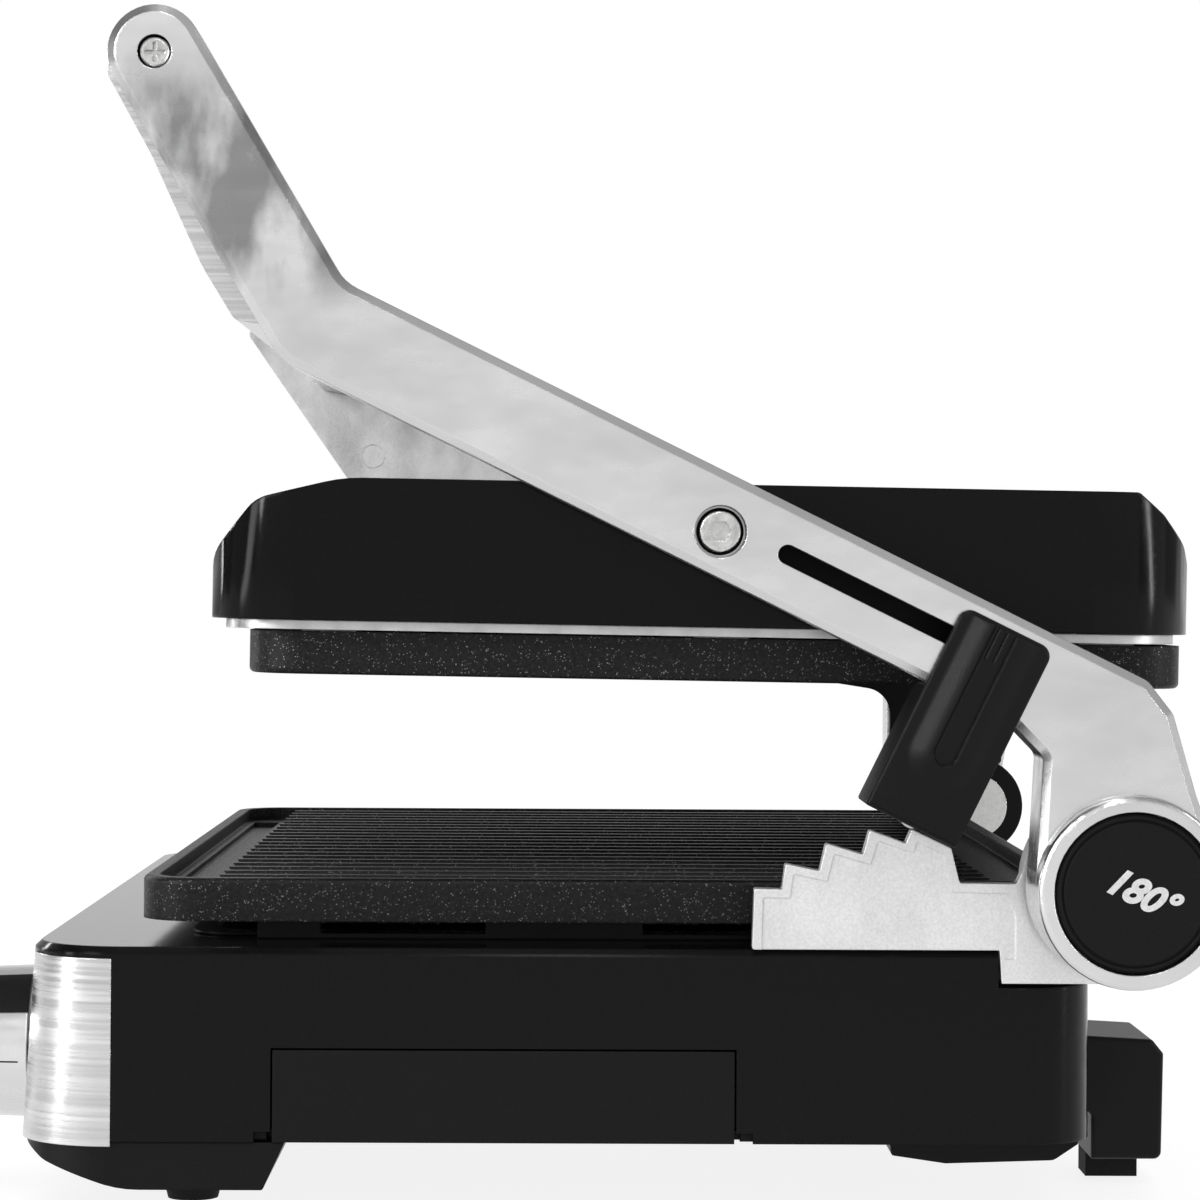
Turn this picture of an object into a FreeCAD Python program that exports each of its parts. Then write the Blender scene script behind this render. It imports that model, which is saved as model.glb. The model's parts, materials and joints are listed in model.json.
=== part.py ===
import FreeCAD, Part
import math
import os

os.makedirs("parts", exist_ok=True)

V = FreeCAD.Vector

# ---------------------------------------------------------------- sizes (mm)
# X runs along the hinge, -Y is the front, +Z is up, and the feet stand on z = 0.
GAP = 0.4                      # air between pieces of different bodies
FIT = 0.05                     # radial running clearance of a shaft

# base housing
BASE_HALF_W = 165.0            # side wall at the top edge
BASE_FRONT = -134.0            # front face at the top edge
BASE_REAR = 132.4
BASE_TOP = 66.7
BASE_BOTTOM = 18.6
BASE_WALL = 2.6
BASE_R_FRONT = 24.0            # plan radius of the front corners
BASE_R_REAR = 18.0
SIDE_DRAFT = 0.025             # outward lean of the side walls per mm down
FRONT_DRAFT = 0.06             # the same for the front face
REAR_STEP_Y = 108.0            # behind this the deck drops
REAR_STEP_Z = 58.5
EDGE_ROUND = 1.6

# grill plates
PLATE_HALF_W = 148.0
PLATE_FRONT = -107.7
PLATE_DEPTH = 238.2
PLATE_H = 10.9                 # height of the side of a plate
PLATE_R = 15.0
PLATE_TOP = 82.5               # cooking plane of the lower plate
RIM_W = 4.0
RIB_COUNT = 21
RIB_H = 3.6
RIB_BASE_W = 6.4
RIB_TOP_W = 3.2
RIB_FRONT_GAP = 18.0           # from the front edge of the plate to the ribs
RIB_REAR_GAP = 20.0
SKIN = 4.0                     # metal between the cooking floor and the back

# hinge line and the two arms
HINGE_Y = 137.2
HINGE_Z = 83.5
ARM_SLOPE = 26.1               # degrees, long leg of an arm
HANDLE_SLOPE = 59.4            # degrees, handle leg
ARM_IN = 170.0                 # inner face of an arm
ARM_OUT = 190.0                # outer face
ARM_HALF_H = 11.9              # half width of the long leg
ARM_RISE = 35.5                # long leg's centre line above the hinge line
HANDLE_HALF_H = 11.5
HANDLE_END = (-99.8, 285.0)    # centre of the rounded handle end
BOSS_R = 23.4                  # round end of an arm at the hinge
BOSS_OUT = 195.8
BUTTON_R = 19.3                # black release button in the right boss
LEFT_BOSS_R = 16.5
LEFT_CAP_R = 12.4              # plain cap in the left boss
SHAFT_R = 8.0
RIM_BEVEL = 2.0
WEB_T = 3.5                    # plate behind the left arm's elbow

# hinge brackets on the base
RACK_IN = 160.0
RACK_OUT = 165.4
KNUCKLE_IN = 156.5
KNUCKLE_R = 23.6
LEFT_KNUCKLE_R = 16.1

# lid
BOLT_Y = 37.2                  # pivot bolt that carries the lid
BOLT_Z = 170.1
BOLT_R = 4.0
HEX_R = 2.7
LID_TILT = 0.75                # degrees the lid hangs rear down when raised
LID_HALF_W = 159.0
LID_FRONT = -89.9
LID_REAR = 159.4
LID_BOTTOM = 146.6
LID_TOP = 182.3
LID_WALL = 2.6
LID_R_FRONT = 22.0
LID_R_REAR = 27.0
UPPER_PLATE_FACE = 132.8       # cooking plane of the upper plate
UPPER_PLATE_FRONT = -80.5

# height slider
SLIDER_A = 55.3                # place along the long leg, from the hinge line
SLIDER_W = 24.3
SLIDER_LOW = -9.6              # lower and upper end, square to the long leg
SLIDER_HIGH = 43.8
SLIDER_OUT = 195.6
SLIDER_TRAVEL = 57.0
SLOT_W = 4.8
SLOT_POCKET_W = 12.8           # room for the pin's head inside the arm
SLOT_PIN_A = 52.4              # slot pin when the lid is raised
SLOT_N = 36.0
PIN_R = 2.05
PEG_A = 54.0                   # round peg that rests on the rack
PEG_N = -7.5
PEG_R = 3.0

# drip tray in the right-hand side
TRAY_Y0 = -72.1
TRAY_Y1 = 42.4
TRAY_TOP = 41.4
TRAY_DEEP = 215.0
TRAY_WALL = 1.6
TRAY_SIDE_GAP = 3.2            # from the front's edge to the bin behind it
SEAM = 0.5

# front controls
KNOB_X = 112.0
KNOB_Z = 37.0
KNOB_R = 19.8
KNOB_TIP = -160.8
KNOB_BACK = -137.9
KNOB_SHAFT_R = 3.0
LENS_HALF_W = 34.0
LENS_Z0 = 32.0
LENS_Z1 = 50.0

# feet
FRONT_FOOT = (135.0, -94.6)
FRONT_FOOT_R = 8.0
BELLY_BOTTOM = 6.6
BLOCK_X0 = 70.0
BLOCK_X1 = 110.0
BLOCK_FRONT = 139.0
BLOCK_REAR = 158.0
BLOCK_BOTTOM = 6.5
BLOCK_FOOT_Y = 146.2
REAR_PAD_W = 13.7              # square rubber pad under a block
FOOT_PEG_R = 3.0

# bottom cover
FLOOR_T = 2.2
BELLY_REAR = -74.5
BELLY_STEP = -69.1
SKIRT_FRONT = 82.8
SKIRT_REAR = BASE_REAR - 8.6
VENT_COUNT = 9
VENT_PITCH = 11.0

# inside the base
GLAND_Z = 38.0
GLAND_R = 7.9
CORD_R = 3.6
FAR = 200.0                    # beyond every piece, for cutting boxes


# ---------------------------------------------------------------- helpers
def export(shape, name):
    solids = shape.Solids
    assert solids, name
    body = solids[0] if len(solids) == 1 else Part.makeCompound(solids)
    body.exportStep("parts/" + name + ".step")


def box(x0, x1, y0, y1, z0, z1):
    return Part.makeBox(x1 - x0, y1 - y0, z1 - z0, V(x0, y0, z0))


def cyl_x(x0, x1, y, z, r):
    return Part.makeCylinder(r, x1 - x0, V(x0, y, z), V(1, 0, 0))


def cyl_y(y0, y1, x, z, r):
    return Part.makeCylinder(r, y1 - y0, V(x, y0, z), V(0, 1, 0))


def cyl_z(z0, z1, x, y, r):
    return Part.makeCylinder(r, z1 - z0, V(x, y, z0), V(0, 0, 1))


def mirrored(shape):
    return shape.mirror(V(0, 0, 0), V(1, 0, 0))


def fused(shapes):
    return shapes[0].multiFuse(shapes[1:]).removeSplitter()


def corner_cut(prev, here, after, radius):
    """Start, middle and end of the arc that rounds a corner."""
    back = (prev - here).normalize()
    ahead = (after - here).normalize()
    half = back.getAngle(ahead) / 2
    run = radius / math.tan(half)
    start = here + back * run
    end = here + ahead * run
    inward = (back + ahead).normalize()
    middle = here + inward * (radius / math.sin(half) - radius)
    return start, middle, end


def rounded_wire(points, place):
    """Closed outline from (u, v, radius) corners; place turns (u, v) into a point."""
    spots = [place(u, v) for u, v, r in points]
    count = len(points)
    cuts = []
    for i, (u, v, r) in enumerate(points):
        if r > 0:
            cuts.append(corner_cut(V(spots[i - 1]), V(spots[i]), V(spots[(i + 1) % count]), r))
        else:
            cuts.append((spots[i], None, spots[i]))
    edges = []
    for i, (start, middle, end) in enumerate(cuts):
        if middle is not None:
            edges.append(Part.Arc(start, middle, end).toShape())
        nxt = cuts[(i + 1) % count][0]
        if end.distanceToPoint(nxt) > 1e-4:
            edges.append(Part.LineSegment(end, nxt).toShape())
    return Part.Wire(Part.__sortEdges__(edges))


def side_prism(points, x0, x1):
    """Outline in (y, z), extruded along X."""
    wire = rounded_wire(points, lambda y, z: V(x0, y, z))
    return Part.Face(wire).extrude(V(x1 - x0, 0, 0))


def plan_prism(points, z0, z1):
    """Outline in (x, y), extruded along Z."""
    wire = rounded_wire(points, lambda x, y: V(x, y, z0))
    return Part.Face(wire).extrude(V(0, 0, z1 - z0))


def plan_rect(half_w, y0, y1, r_front, r_rear):
    return [
        (-half_w, y0, r_front),
        (half_w, y0, r_front),
        (half_w, y1, r_rear),
        (-half_w, y1, r_rear),
    ]


def beveled(solid, size, pick):
    """Chamfer the edges that pick() accepts."""
    edges = [e for e in solid.Edges if pick(e)]
    return solid.makeChamfer(size, edges)


def softened(solid, size, pick):
    """Fillet the edges that pick() accepts."""
    edges = [e for e in solid.Edges if pick(e)]
    return solid.makeFillet(size, edges)


def edge_in_plane(axis, value):
    def pick(edge):
        box_ = edge.BoundBox
        low = getattr(box_, axis + "Min")
        high = getattr(box_, axis + "Max")
        return abs(low - value) < 1e-3 and abs(high - value) < 1e-3
    return pick


# A point given along (a) and square to (n) the long leg, from the hinge line.
SLOPE = math.radians(ARM_SLOPE)
LEG = (-math.cos(SLOPE), math.sin(SLOPE))
SQUARE = (math.sin(SLOPE), math.cos(SLOPE))
HANDLE = math.radians(HANDLE_SLOPE)
HANDLE_RUN = (math.cos(HANDLE), -math.sin(HANDLE))
HANDLE_UP = (math.sin(HANDLE), math.cos(HANDLE))


def on_leg(a, n):
    return (HINGE_Y + a * LEG[0] + n * SQUARE[0], HINGE_Z + a * LEG[1] + n * SQUARE[1])


def on_handle(t, w):
    y = HANDLE_END[0] + t * HANDLE_RUN[0] + w * HANDLE_UP[0]
    z = HANDLE_END[1] + t * HANDLE_RUN[1] + w * HANDLE_UP[1]
    return (y, z)


def meet(p, d, q, e):
    """Crossing of the lines p + s d and q + t e."""
    det = d[0] * -e[1] + d[1] * e[0]
    rx = q[0] - p[0]
    ry = q[1] - p[1]
    s = (rx * -e[1] + ry * e[0]) / det
    return (p[0] + s * d[0], p[1] + s * d[1])


def leg_prism(points, x0, x1):
    """Outline in (a, n, radius) leg coordinates, extruded along X."""
    return side_prism([on_leg(a, n) + (r,) for a, n, r in points], x0, x1)


def handle_prism(points, x0, x1):
    return side_prism([on_handle(t, w) + (r,) for t, w, r in points], x0, x1)


# ---------------------------------------------------------------- base housing
def base_wire(z, inset):
    half_w = BASE_HALF_W + SIDE_DRAFT * (BASE_TOP - z) - inset
    front = BASE_FRONT - FRONT_DRAFT * (BASE_TOP - z) + inset
    rear = BASE_REAR - inset
    corners = plan_rect(half_w, front, rear, BASE_R_FRONT - inset, BASE_R_REAR - inset)
    return rounded_wire(corners, lambda x, y: V(x, y, z))


def base_block(z0, z1, inset):
    return Part.makeLoft([base_wire(z0, inset), base_wire(z1, inset)], True, True)


def rear_drop(extra_y, extra_z):
    return box(-FAR, FAR, REAR_STEP_Y + extra_y, FAR, REAR_STEP_Z + extra_z, 100)


def below(z):
    return box(-FAR, FAR, -FAR, FAR, -1, z)


PANEL_T = 0.9
PANEL_Z0 = 17.2
PANEL_Z1 = 64.0
PANEL_END_Y = -112.0           # where the wrap-round panel stops on the sides
WELL = (-130.0, 130.0, -92.0, 100.0)
BRACKET_FRONT = 46.6
BRACKET_LOW_Z = 66.7

round_z = BASE_TOP - EDGE_ROUND
outer = base_block(BASE_BOTTOM, round_z, 0)
cap = Part.makeLoft([base_wire(round_z, 0), base_wire(BASE_TOP, EDGE_ROUND)], True, True)
outer = outer.fuse(cap).removeSplitter()
outer = outer.cut(rear_drop(0, 0))
cavity = base_block(BASE_BOTTOM - 5, BASE_TOP - BASE_WALL, BASE_WALL)
cavity = cavity.cut(rear_drop(-BASE_WALL, -BASE_WALL))
shell = outer.cut(cavity)
shell = shell.cut(box(*WELL, BASE_TOP - BASE_WALL - 1, BASE_TOP + 1))


def skin(z0, z1, outset, inset):
    """A band of the housing's own outline, from outset outside it to inset inside it."""
    return base_block(z0, z1, -outset).cut(base_block(z0 - 1, z1 + 1, inset))


def front_openings(shape):
    """Holes for the knob's shaft and the display."""
    shape = shape.cut(cyl_y(-150, -120, KNOB_X, KNOB_Z, 2 * KNOB_SHAFT_R + 0.2))
    return shape.cut(box(-LENS_HALF_W, LENS_HALF_W, -150, -120, LENS_Z0, LENS_Z1))


panel_zone = box(-FAR, FAR, -FAR, PANEL_END_Y, PANEL_Z0, PANEL_Z1)
recess = skin(PANEL_Z0 - 2, PANEL_Z1 + 2, 1, PANEL_T + 0.1)
shell = shell.cut(recess.common(panel_zone))

mouth_y0 = TRAY_Y0 - SEAM
mouth_y1 = TRAY_Y1 + SEAM
shell = shell.cut(box(BASE_HALF_W - 12, FAR, mouth_y0, mouth_y1, BASE_BOTTOM - 5, TRAY_TOP + SEAM))
# finger notches at the lower corners of the tray's front
for y in (TRAY_Y0 - 2.4, TRAY_Y1 + 2.4):
    notch = box(BASE_HALF_W - 4, FAR, y - 2.2, y + 2.2, BASE_BOTTOM - 1, BASE_BOTTOM + 2.6)
    shell = shell.cut(notch)

shell = front_openings(shell)
shell = shell.cut(cyl_y(BASE_REAR - 6, BASE_REAR + 2, 0, GLAND_Z, GLAND_R + 0.3))
for side in (-1, 1):
    x0, x1 = sorted((side * (KNUCKLE_IN - 0.1), side * FAR))
    pocket = box(x0, x1, REAR_STEP_Y - 0.2, BASE_REAR - 2.0, REAR_STEP_Z - 1.0, 90)
    shell = shell.cut(pocket)
export(shell, "base_shell")

panel = skin(PANEL_Z0, PANEL_Z1, 0, PANEL_T)
panel = panel.common(box(-FAR, FAR, -FAR, PANEL_END_Y - 0.2, PANEL_Z0 + 0.2, PANEL_Z1 - 0.2))
export(front_openings(panel), "front_panel")

lens = skin(LENS_Z0 + 0.2, LENS_Z1 - 0.2, 0.3, 2.2)
lens = lens.common(box(-LENS_HALF_W + 0.2, LENS_HALF_W - 0.2, -FAR, -120, LENS_Z0, LENS_Z1))
export(lens, "display_lens")

# bottom cover: floor plate, front belly and rear skirt
floor_z0 = BASE_BOTTOM + 0.2
floor_z1 = floor_z0 + FLOOR_T
under = BASE_BOTTOM - 0.2
floor = base_block(floor_z0, floor_z1, BASE_WALL + 0.3)
floor = floor.cut(box(BASE_HALF_W - 5, FAR, mouth_y0 - 1, mouth_y1 + 1, 0, TRAY_TOP))
belly_profile = [
    (BASE_FRONT - 1.0, floor_z1, 0),
    (BASE_FRONT - 2.4, BASE_BOTTOM - 1.6, 0),
    (BASE_FRONT + 4.0, 13.0, 8.0),
    (BASE_FRONT + 24.0, BELLY_BOTTOM, 30.0),
    (BELLY_REAR, BELLY_BOTTOM, 0.8),
    (BELLY_STEP, under, 0),
    (BELLY_STEP, floor_z1, 0),
]
belly = side_prism(belly_profile, -170, 170).common(base_block(0, floor_z1, 1.2))
belly = belly.common(below(under))
belly_neck = box(-150, 150, BASE_FRONT + 8, BELLY_REAR + 2.5, BASE_BOTTOM - 2, floor_z1)
belly_room = box(-150, 150, BASE_FRONT + 28, BELLY_REAR - 3.5, BELLY_BOTTOM + 2.4, 40)
skirt_profile = [
    (SKIRT_FRONT - 1.0, floor_z1, 0),
    (SKIRT_FRONT, 13.5, 0.8),
    (SKIRT_FRONT + 13.7, 11.5, 3),
    (SKIRT_REAR, 12.4, 3),
    (SKIRT_REAR + 6.1, 16.5, 0),
    (SKIRT_REAR + 6.1, floor_z1, 0),
]
skirt = side_prism(skirt_profile, -150, 150).common(base_block(0, floor_z1, 2.0))
skirt = skirt.common(below(under))
skirt_neck = box(-145, 145, SKIRT_FRONT + 1.2, SKIRT_REAR + 0.6, BASE_BOTTOM - 2, floor_z1)
skirt_room = box(-146, 146, SKIRT_FRONT + 3.2, SKIRT_REAR - 3.4, 14.5, 40)
cover = fused([floor, belly.fuse(belly_neck), skirt.fuse(skirt_neck)])
cover = cover.cut(belly_room).cut(skirt_room)
for i in range(VENT_COUNT):
    y = (i - (VENT_COUNT - 1) / 2) * VENT_PITCH
    cover = cover.cut(box(-120, -60, y, y + 4, floor_z0 - 1, floor_z1 + 1))
for side in (-1, 1):
    x = side * FRONT_FOOT[0]
    cover = cover.cut(cyl_z(BELLY_BOTTOM - 1, BELLY_BOTTOM + 4, x, FRONT_FOOT[1], FOOT_PEG_R + 0.2))
# two rails that guide the drip tray
for y in (TRAY_Y0 - 2.0, TRAY_Y1 - 0.2):
    rail = box(-52, BASE_HALF_W - 12, y, y + 2.2, floor_z1 - 0.2, 32)
    cover = cover.fuse(rail)
export(cover.removeSplitter(), "base_bottom_cover")

def foot(x, y, tip_r, top_r, top_z, peg_z):
    """A rubber foot that widens upwards, with a peg into the piece above it."""
    cone = Part.makeCone(tip_r, top_r, top_z, V(x, y, 0), V(0, 0, 1))
    return cone.fuse(cyl_z(top_z - 0.5, peg_z, x, y, FOOT_PEG_R)).removeSplitter()


block_profile = [
    (BASE_REAR + 0.1, BLOCK_BOTTOM + 14.0, 0),
    (BLOCK_FRONT, BLOCK_BOTTOM + 12.0, 1.5),
    (BLOCK_FRONT, BLOCK_BOTTOM, 0.6),
    (BLOCK_REAR - 0.5, BLOCK_BOTTOM, 2.0),
    (BLOCK_REAR, 34.3, 1.0),
    (BLOCK_REAR - 3.0, 38.0, 1.5),
    (BASE_REAR + 4.0, 39.0, 1.5),
    (BASE_REAR + 0.1, 36.0, 0),
]
for side, name in ((1, "right"), (-1, "left")):
    x = side * FRONT_FOOT[0]
    front_foot = foot(x, FRONT_FOOT[1], FRONT_FOOT_R - 1.6, FRONT_FOOT_R, BELLY_BOTTOM, BELLY_BOTTOM + 3.6)
    export(front_foot, "front_foot_" + name)
    x0, x1 = sorted((side * BLOCK_X0, side * BLOCK_X1))
    mid = (x0 + x1) / 2
    block = side_prism(block_profile, x0, x1)
    for end in (x0, x1):
        block = softened(block, 1.2, edge_in_plane("X", end))
    block = block.cut(cyl_z(BLOCK_BOTTOM - 1, BLOCK_BOTTOM + 3.4, mid, BLOCK_FOOT_Y, FOOT_PEG_R + 0.2))
    export(block, "rear_block_" + name)
    half = REAR_PAD_W / 2
    pad = box(mid - half, mid + half, BLOCK_FOOT_Y - half, BLOCK_FOOT_Y + half, 0, BLOCK_BOTTOM)
    peg = cyl_z(BLOCK_BOTTOM - 0.5, BLOCK_BOTTOM + 3.2, mid, BLOCK_FOOT_Y, FOOT_PEG_R)
    export(pad.fuse(peg).removeSplitter(), "rear_foot_" + name)


# inside the base
def gland_tube(y0, y1, r):
    return cyl_y(BASE_REAR + y0, BASE_REAR + y1, 0, GLAND_Z, r)


gland = fused([
    gland_tube(-8, 5, GLAND_R),
    gland_tube(0.1, 3, GLAND_R + 2.6),
    gland_tube(-5.2, -BASE_WALL - 0.1, GLAND_R + 2.6),
])
export(gland.cut(gland_tube(-10, 8, CORD_R)), "cord_gland")

BOARD_Y = -126.0
BOARD_T = 2.6
board = box(-60, 60, BOARD_Y, BOARD_Y + BOARD_T, 24, 60)
board = board.fuse(box(-LENS_HALF_W + 2, LENS_HALF_W - 2, BOARD_Y - 5, BOARD_Y, LENS_Z0 + 2, LENS_Z1 - 2))
for x in (-50, 50):
    board = board.fuse(box(x - 4, x + 4, BOARD_Y + BOARD_T, BOARD_Y + 8, 40, 52))
export(board.removeSplitter(), "control_board")

TERMINAL_Y = 118.0
terminal = box(-28, 28, TERMINAL_Y - 6, TERMINAL_Y + 6, 26, 40)
for i in range(4):
    terminal = terminal.cut(cyl_z(36, 41, -21 + 14 * i, TERMINAL_Y, 3))
terminal = terminal.fuse(box(-30, 30, TERMINAL_Y - 8, TERMINAL_Y + 8, floor_z1 + 0.1, 26))
export(terminal.removeSplitter(), "terminal_block")


# ---------------------------------------------------------------- grill plates
def grill_plate(front):
    """A ribbed plate with its cooking plane at z = 0 and its back below it."""
    rear = front + PLATE_DEPTH
    floor_z = -RIB_H - 0.2
    body = plan_prism(plan_rect(PLATE_HALF_W, front, rear, PLATE_R, PLATE_R), -PLATE_H, 0)
    body = softened(body, 1.4, edge_in_plane("Z", 0))
    inner_r = PLATE_R - RIM_W
    dish = plan_rect(PLATE_HALF_W - RIM_W, front + RIM_W, rear - RIM_W, inner_r, inner_r)
    body = body.cut(plan_prism(dish, floor_z, 1))
    body = body.cut(plan_prism(dish, -PLATE_H - 1, floor_z - SKIN))
    channel = box(-PLATE_HALF_W + 20, PLATE_HALF_W - 20, front + 6.5, front + 14.5, floor_z - 1.6, 1)
    body = body.cut(channel)
    span = 2 * (PLATE_HALF_W - RIM_W)
    pitch = span / (RIB_COUNT + 0.8)
    ribs = []
    for i in range(RIB_COUNT):
        x = (i - (RIB_COUNT - 1) / 2) * pitch
        y0 = front + RIB_FRONT_GAP
        y1 = rear - RIB_REAR_GAP
        rib = [
            V(x - RIB_BASE_W / 2, y0, floor_z - 0.3),
            V(x + RIB_BASE_W / 2, y0, floor_z - 0.3),
            V(x + RIB_TOP_W / 2, y0, floor_z + RIB_H),
            V(x - RIB_TOP_W / 2, y0, floor_z + RIB_H),
        ]
        solid = Part.Face(Part.makePolygon(rib + [rib[0]])).extrude(V(0, y1 - y0, 0))
        # sloping ends
        for y, turn in ((y0, -1), (y1, 1)):
            cut = Part.makeBox(20, 20, 20, V(x - 10, 0 if turn > 0 else -20, 0))
            cut.rotate(V(x, 0, 0), V(1, 0, 0), turn * -35)
            cut.translate(V(0, y - turn * 2.5, floor_z + RIB_H - 1.8))
            solid = solid.cut(cut)
        ribs.append(solid)
    return body.multiFuse(ribs).removeSplitter()


lower_plate = grill_plate(PLATE_FRONT)
lower_plate.translate(V(0, 0, PLATE_TOP))
export(lower_plate, "lower_plate")

deck = BASE_TOP
plate_back = PLATE_TOP - RIB_H - 0.2 - SKIN


def pan(half_w, y0, y1, z_low, z_rim, flange, wall):
    """A pressed steel pan, open upwards, with a flange."""
    out = plan_prism(plan_rect(half_w, y0, y1, 10, 10), z_low, z_rim)
    inn = plan_prism(plan_rect(half_w - wall, y0 + wall, y1 - wall, 9, 9), z_low + wall, z_rim + 1)
    lip = plan_prism(plan_rect(half_w + flange, y0 - flange, y1 + flange, 12, 12), z_rim - wall, z_rim)
    return out.fuse(lip).removeSplitter().cut(inn)


lower_pan = pan(128, -90, 98, 52, deck + 1.0, 6, 0.9)
for x in (-60, 60):
    lower_pan = lower_pan.cut(cyl_y(90, 105, x, 60, 5))
export(lower_pan, "lower_reflector")


TUBE_R = 3.2
TUBE_BEND = 20.0


def element(y0, y1, z, tail_y):
    """A heating tube: four legs joined by half-turns, ends leaving at the rear."""
    pieces = []
    for i in range(4):
        x = (2 * i - 3) * TUBE_BEND
        end = y1 if 0 < i < 3 else tail_y
        pieces.append(cyl_y(y0, end, x, z, TUBE_R))
    for i in range(3):
        x = (2 * i - 2) * TUBE_BEND
        y = y1 if i == 1 else y0
        near = y if i == 1 else y - 2 * TUBE_BEND
        ring = Part.makeTorus(TUBE_BEND, TUBE_R, V(x, y, z), V(0, 0, 1))
        half = box(x - 40, x + 40, near, near + 2 * TUBE_BEND, z - 5, z + 5)
        pieces.append(ring.common(half))
    return fused(pieces)


export(element(-60, 70, 60, 104), "lower_heating_element")

# strips that carry the lower plate, each with three seats
RAIL_X0 = 135.5
RAIL_X1 = 141.0
rail = box(RAIL_X0, RAIL_X1, -78, 98, deck + 0.05, deck + 1.4)
for y, half in ((-70, 8), (0, 20), (90, 8)):
    rail = rail.fuse(box(RAIL_X0, RAIL_X1, y - half, y + half, deck + 0.05, plate_back - 0.1))
rail = rail.removeSplitter()
export(rail, "lower_plate_rail_right")
export(mirrored(rail), "lower_plate_rail_left")

stat = cyl_z(42, 51.6, 0, 20, 9).fuse(box(-14, 14, 14, 26, 42, 44)).removeSplitter()
export(stat, "thermostat")

# ---------------------------------------------------------------- hinge brackets
knuckle_foot = [
    (REAR_STEP_Y + 0.6, REAR_STEP_Z + 0.1, 0),
    (BASE_REAR - 3.0, REAR_STEP_Z + 0.1, 0),
    (BASE_REAR + 10.0, HINGE_Z - 15.0, 0),
    (BASE_REAR - 3.0, HINGE_Z, 0),
    (REAR_STEP_Y + 8.0, HINGE_Z, 0),
]
left_knuckle_foot = knuckle_foot[:-1] + [(REAR_STEP_Y + 14.0, HINGE_Z, 0)]
rack_outline = [
    (BRACKET_FRONT, BRACKET_LOW_Z + 0.1, 0.6),
    (47.1, 81.9, 0.5),
    (54.0, 81.7, 0.5),
    (54.8, 88.1, 0.5),
    (63.3, 86.3, 0.5),
    (64.9, 93.2, 0.5),
    (74.0, 90.5, 0.5),
    (75.7, 96.6, 0.5),
    (84.6, 93.3, 0.5),
    (86.1, 96.8, 0.5),
    (95.9, 92.1, 0.5),
    (98.0, 83.5, 0.8),
    (112.2, 83.3, 1.5),
    (118.0, 96.0, 0),
    (HINGE_Y, HINGE_Z, 0),
    (HINGE_Y, REAR_STEP_Z + 0.1, 0),
    (REAR_STEP_Y + 0.6, REAR_STEP_Z + 0.1, 0.5),
    (REAR_STEP_Y + 0.1, BRACKET_LOW_Z + 0.1, 0.3),
]
plain_outline = [
    (BRACKET_FRONT + 30, BRACKET_LOW_Z + 0.1, 2),
    (BRACKET_FRONT + 34, 78.0, 5),
    (112.2, 74.0, 4),
    (123.0, 86.0, 0),
    (HINGE_Y, HINGE_Z, 0),
    (HINGE_Y, REAR_STEP_Z + 0.1, 0),
    (REAR_STEP_Y + 0.6, REAR_STEP_Z + 0.1, 0.5),
    (REAR_STEP_Y + 0.1, BRACKET_LOW_Z + 0.1, 0.3),
]


def bracket(outline, foot_outline, knuckle_r):
    plate = side_prism(outline, RACK_IN, RACK_OUT)
    foot = side_prism(foot_outline, KNUCKLE_IN, RACK_OUT)
    knuckle = cyl_x(KNUCKLE_IN, RACK_OUT, HINGE_Y, HINGE_Z, knuckle_r)
    solid = fused([plate, foot, knuckle])
    solid = solid.cut(cyl_x(KNUCKLE_IN - 5, RACK_OUT + 5, HINGE_Y, HINGE_Z, SHAFT_R + FIT))
    tab = box(150, RACK_OUT - 1, REAR_STEP_Y + 1, BASE_REAR - 6, REAR_STEP_Z + 0.1, REAR_STEP_Z + 3.6)
    return solid.fuse(tab).removeSplitter()


def rack_border(solid):
    """A fine raised border that follows the teeth on the outer face."""
    inner = [
        (BRACKET_FRONT + 2.4, BRACKET_LOW_Z - 2.0, 0.5),
        (49.3, 79.7, 0.5),
        (56.0, 79.5, 0.5),
        (56.8, 85.6, 0.5),
        (65.2, 83.7, 0.5),
        (66.9, 90.6, 0.5),
        (76.0, 87.9, 0.5),
        (77.7, 93.9, 0.5),
        (86.6, 90.8, 0.5),
        (87.4, 93.8, 0.5),
        (94.0, 90.6, 0.5),
        (96.2, 81.2, 0.5),
        (110.0, 80.9, 0.5),
        (112.0, 76.0, 0.5),
        (112.0, BRACKET_LOW_Z - 2.0, 0.5),
    ]
    return solid.cut(side_prism(inner, RACK_OUT - 0.5, RACK_OUT + 1))


export(rack_border(bracket(rack_outline, knuckle_foot, KNUCKLE_R)), "hinge_bracket_right")
export(mirrored(bracket(plain_outline, left_knuckle_foot, LEFT_KNUCKLE_R)), "hinge_bracket_left")

# ---------------------------------------------------------------- hinge shafts and release buttons
CUP_FLOOR = 178.0
BUTTON_BACK = 187.0
BUTTON_FACE = 195.2
STEM_R = 3.4


def hinge_shaft():
    core = cyl_x(154.2, 180.0, HINGE_Y, HINGE_Z, SHAFT_R)
    flange = cyl_x(RACK_OUT + 0.3, ARM_IN - 0.3, HINGE_Y, HINGE_Z, 14)
    clip = cyl_x(154.2, KNUCKLE_IN - 0.3, HINGE_Y, HINGE_Z, 10.6)
    head = cyl_x(CUP_FLOOR + 0.3, 180.4, HINGE_Y, HINGE_Z, 12.0)
    return fused([core, flange, clip, head])


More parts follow.
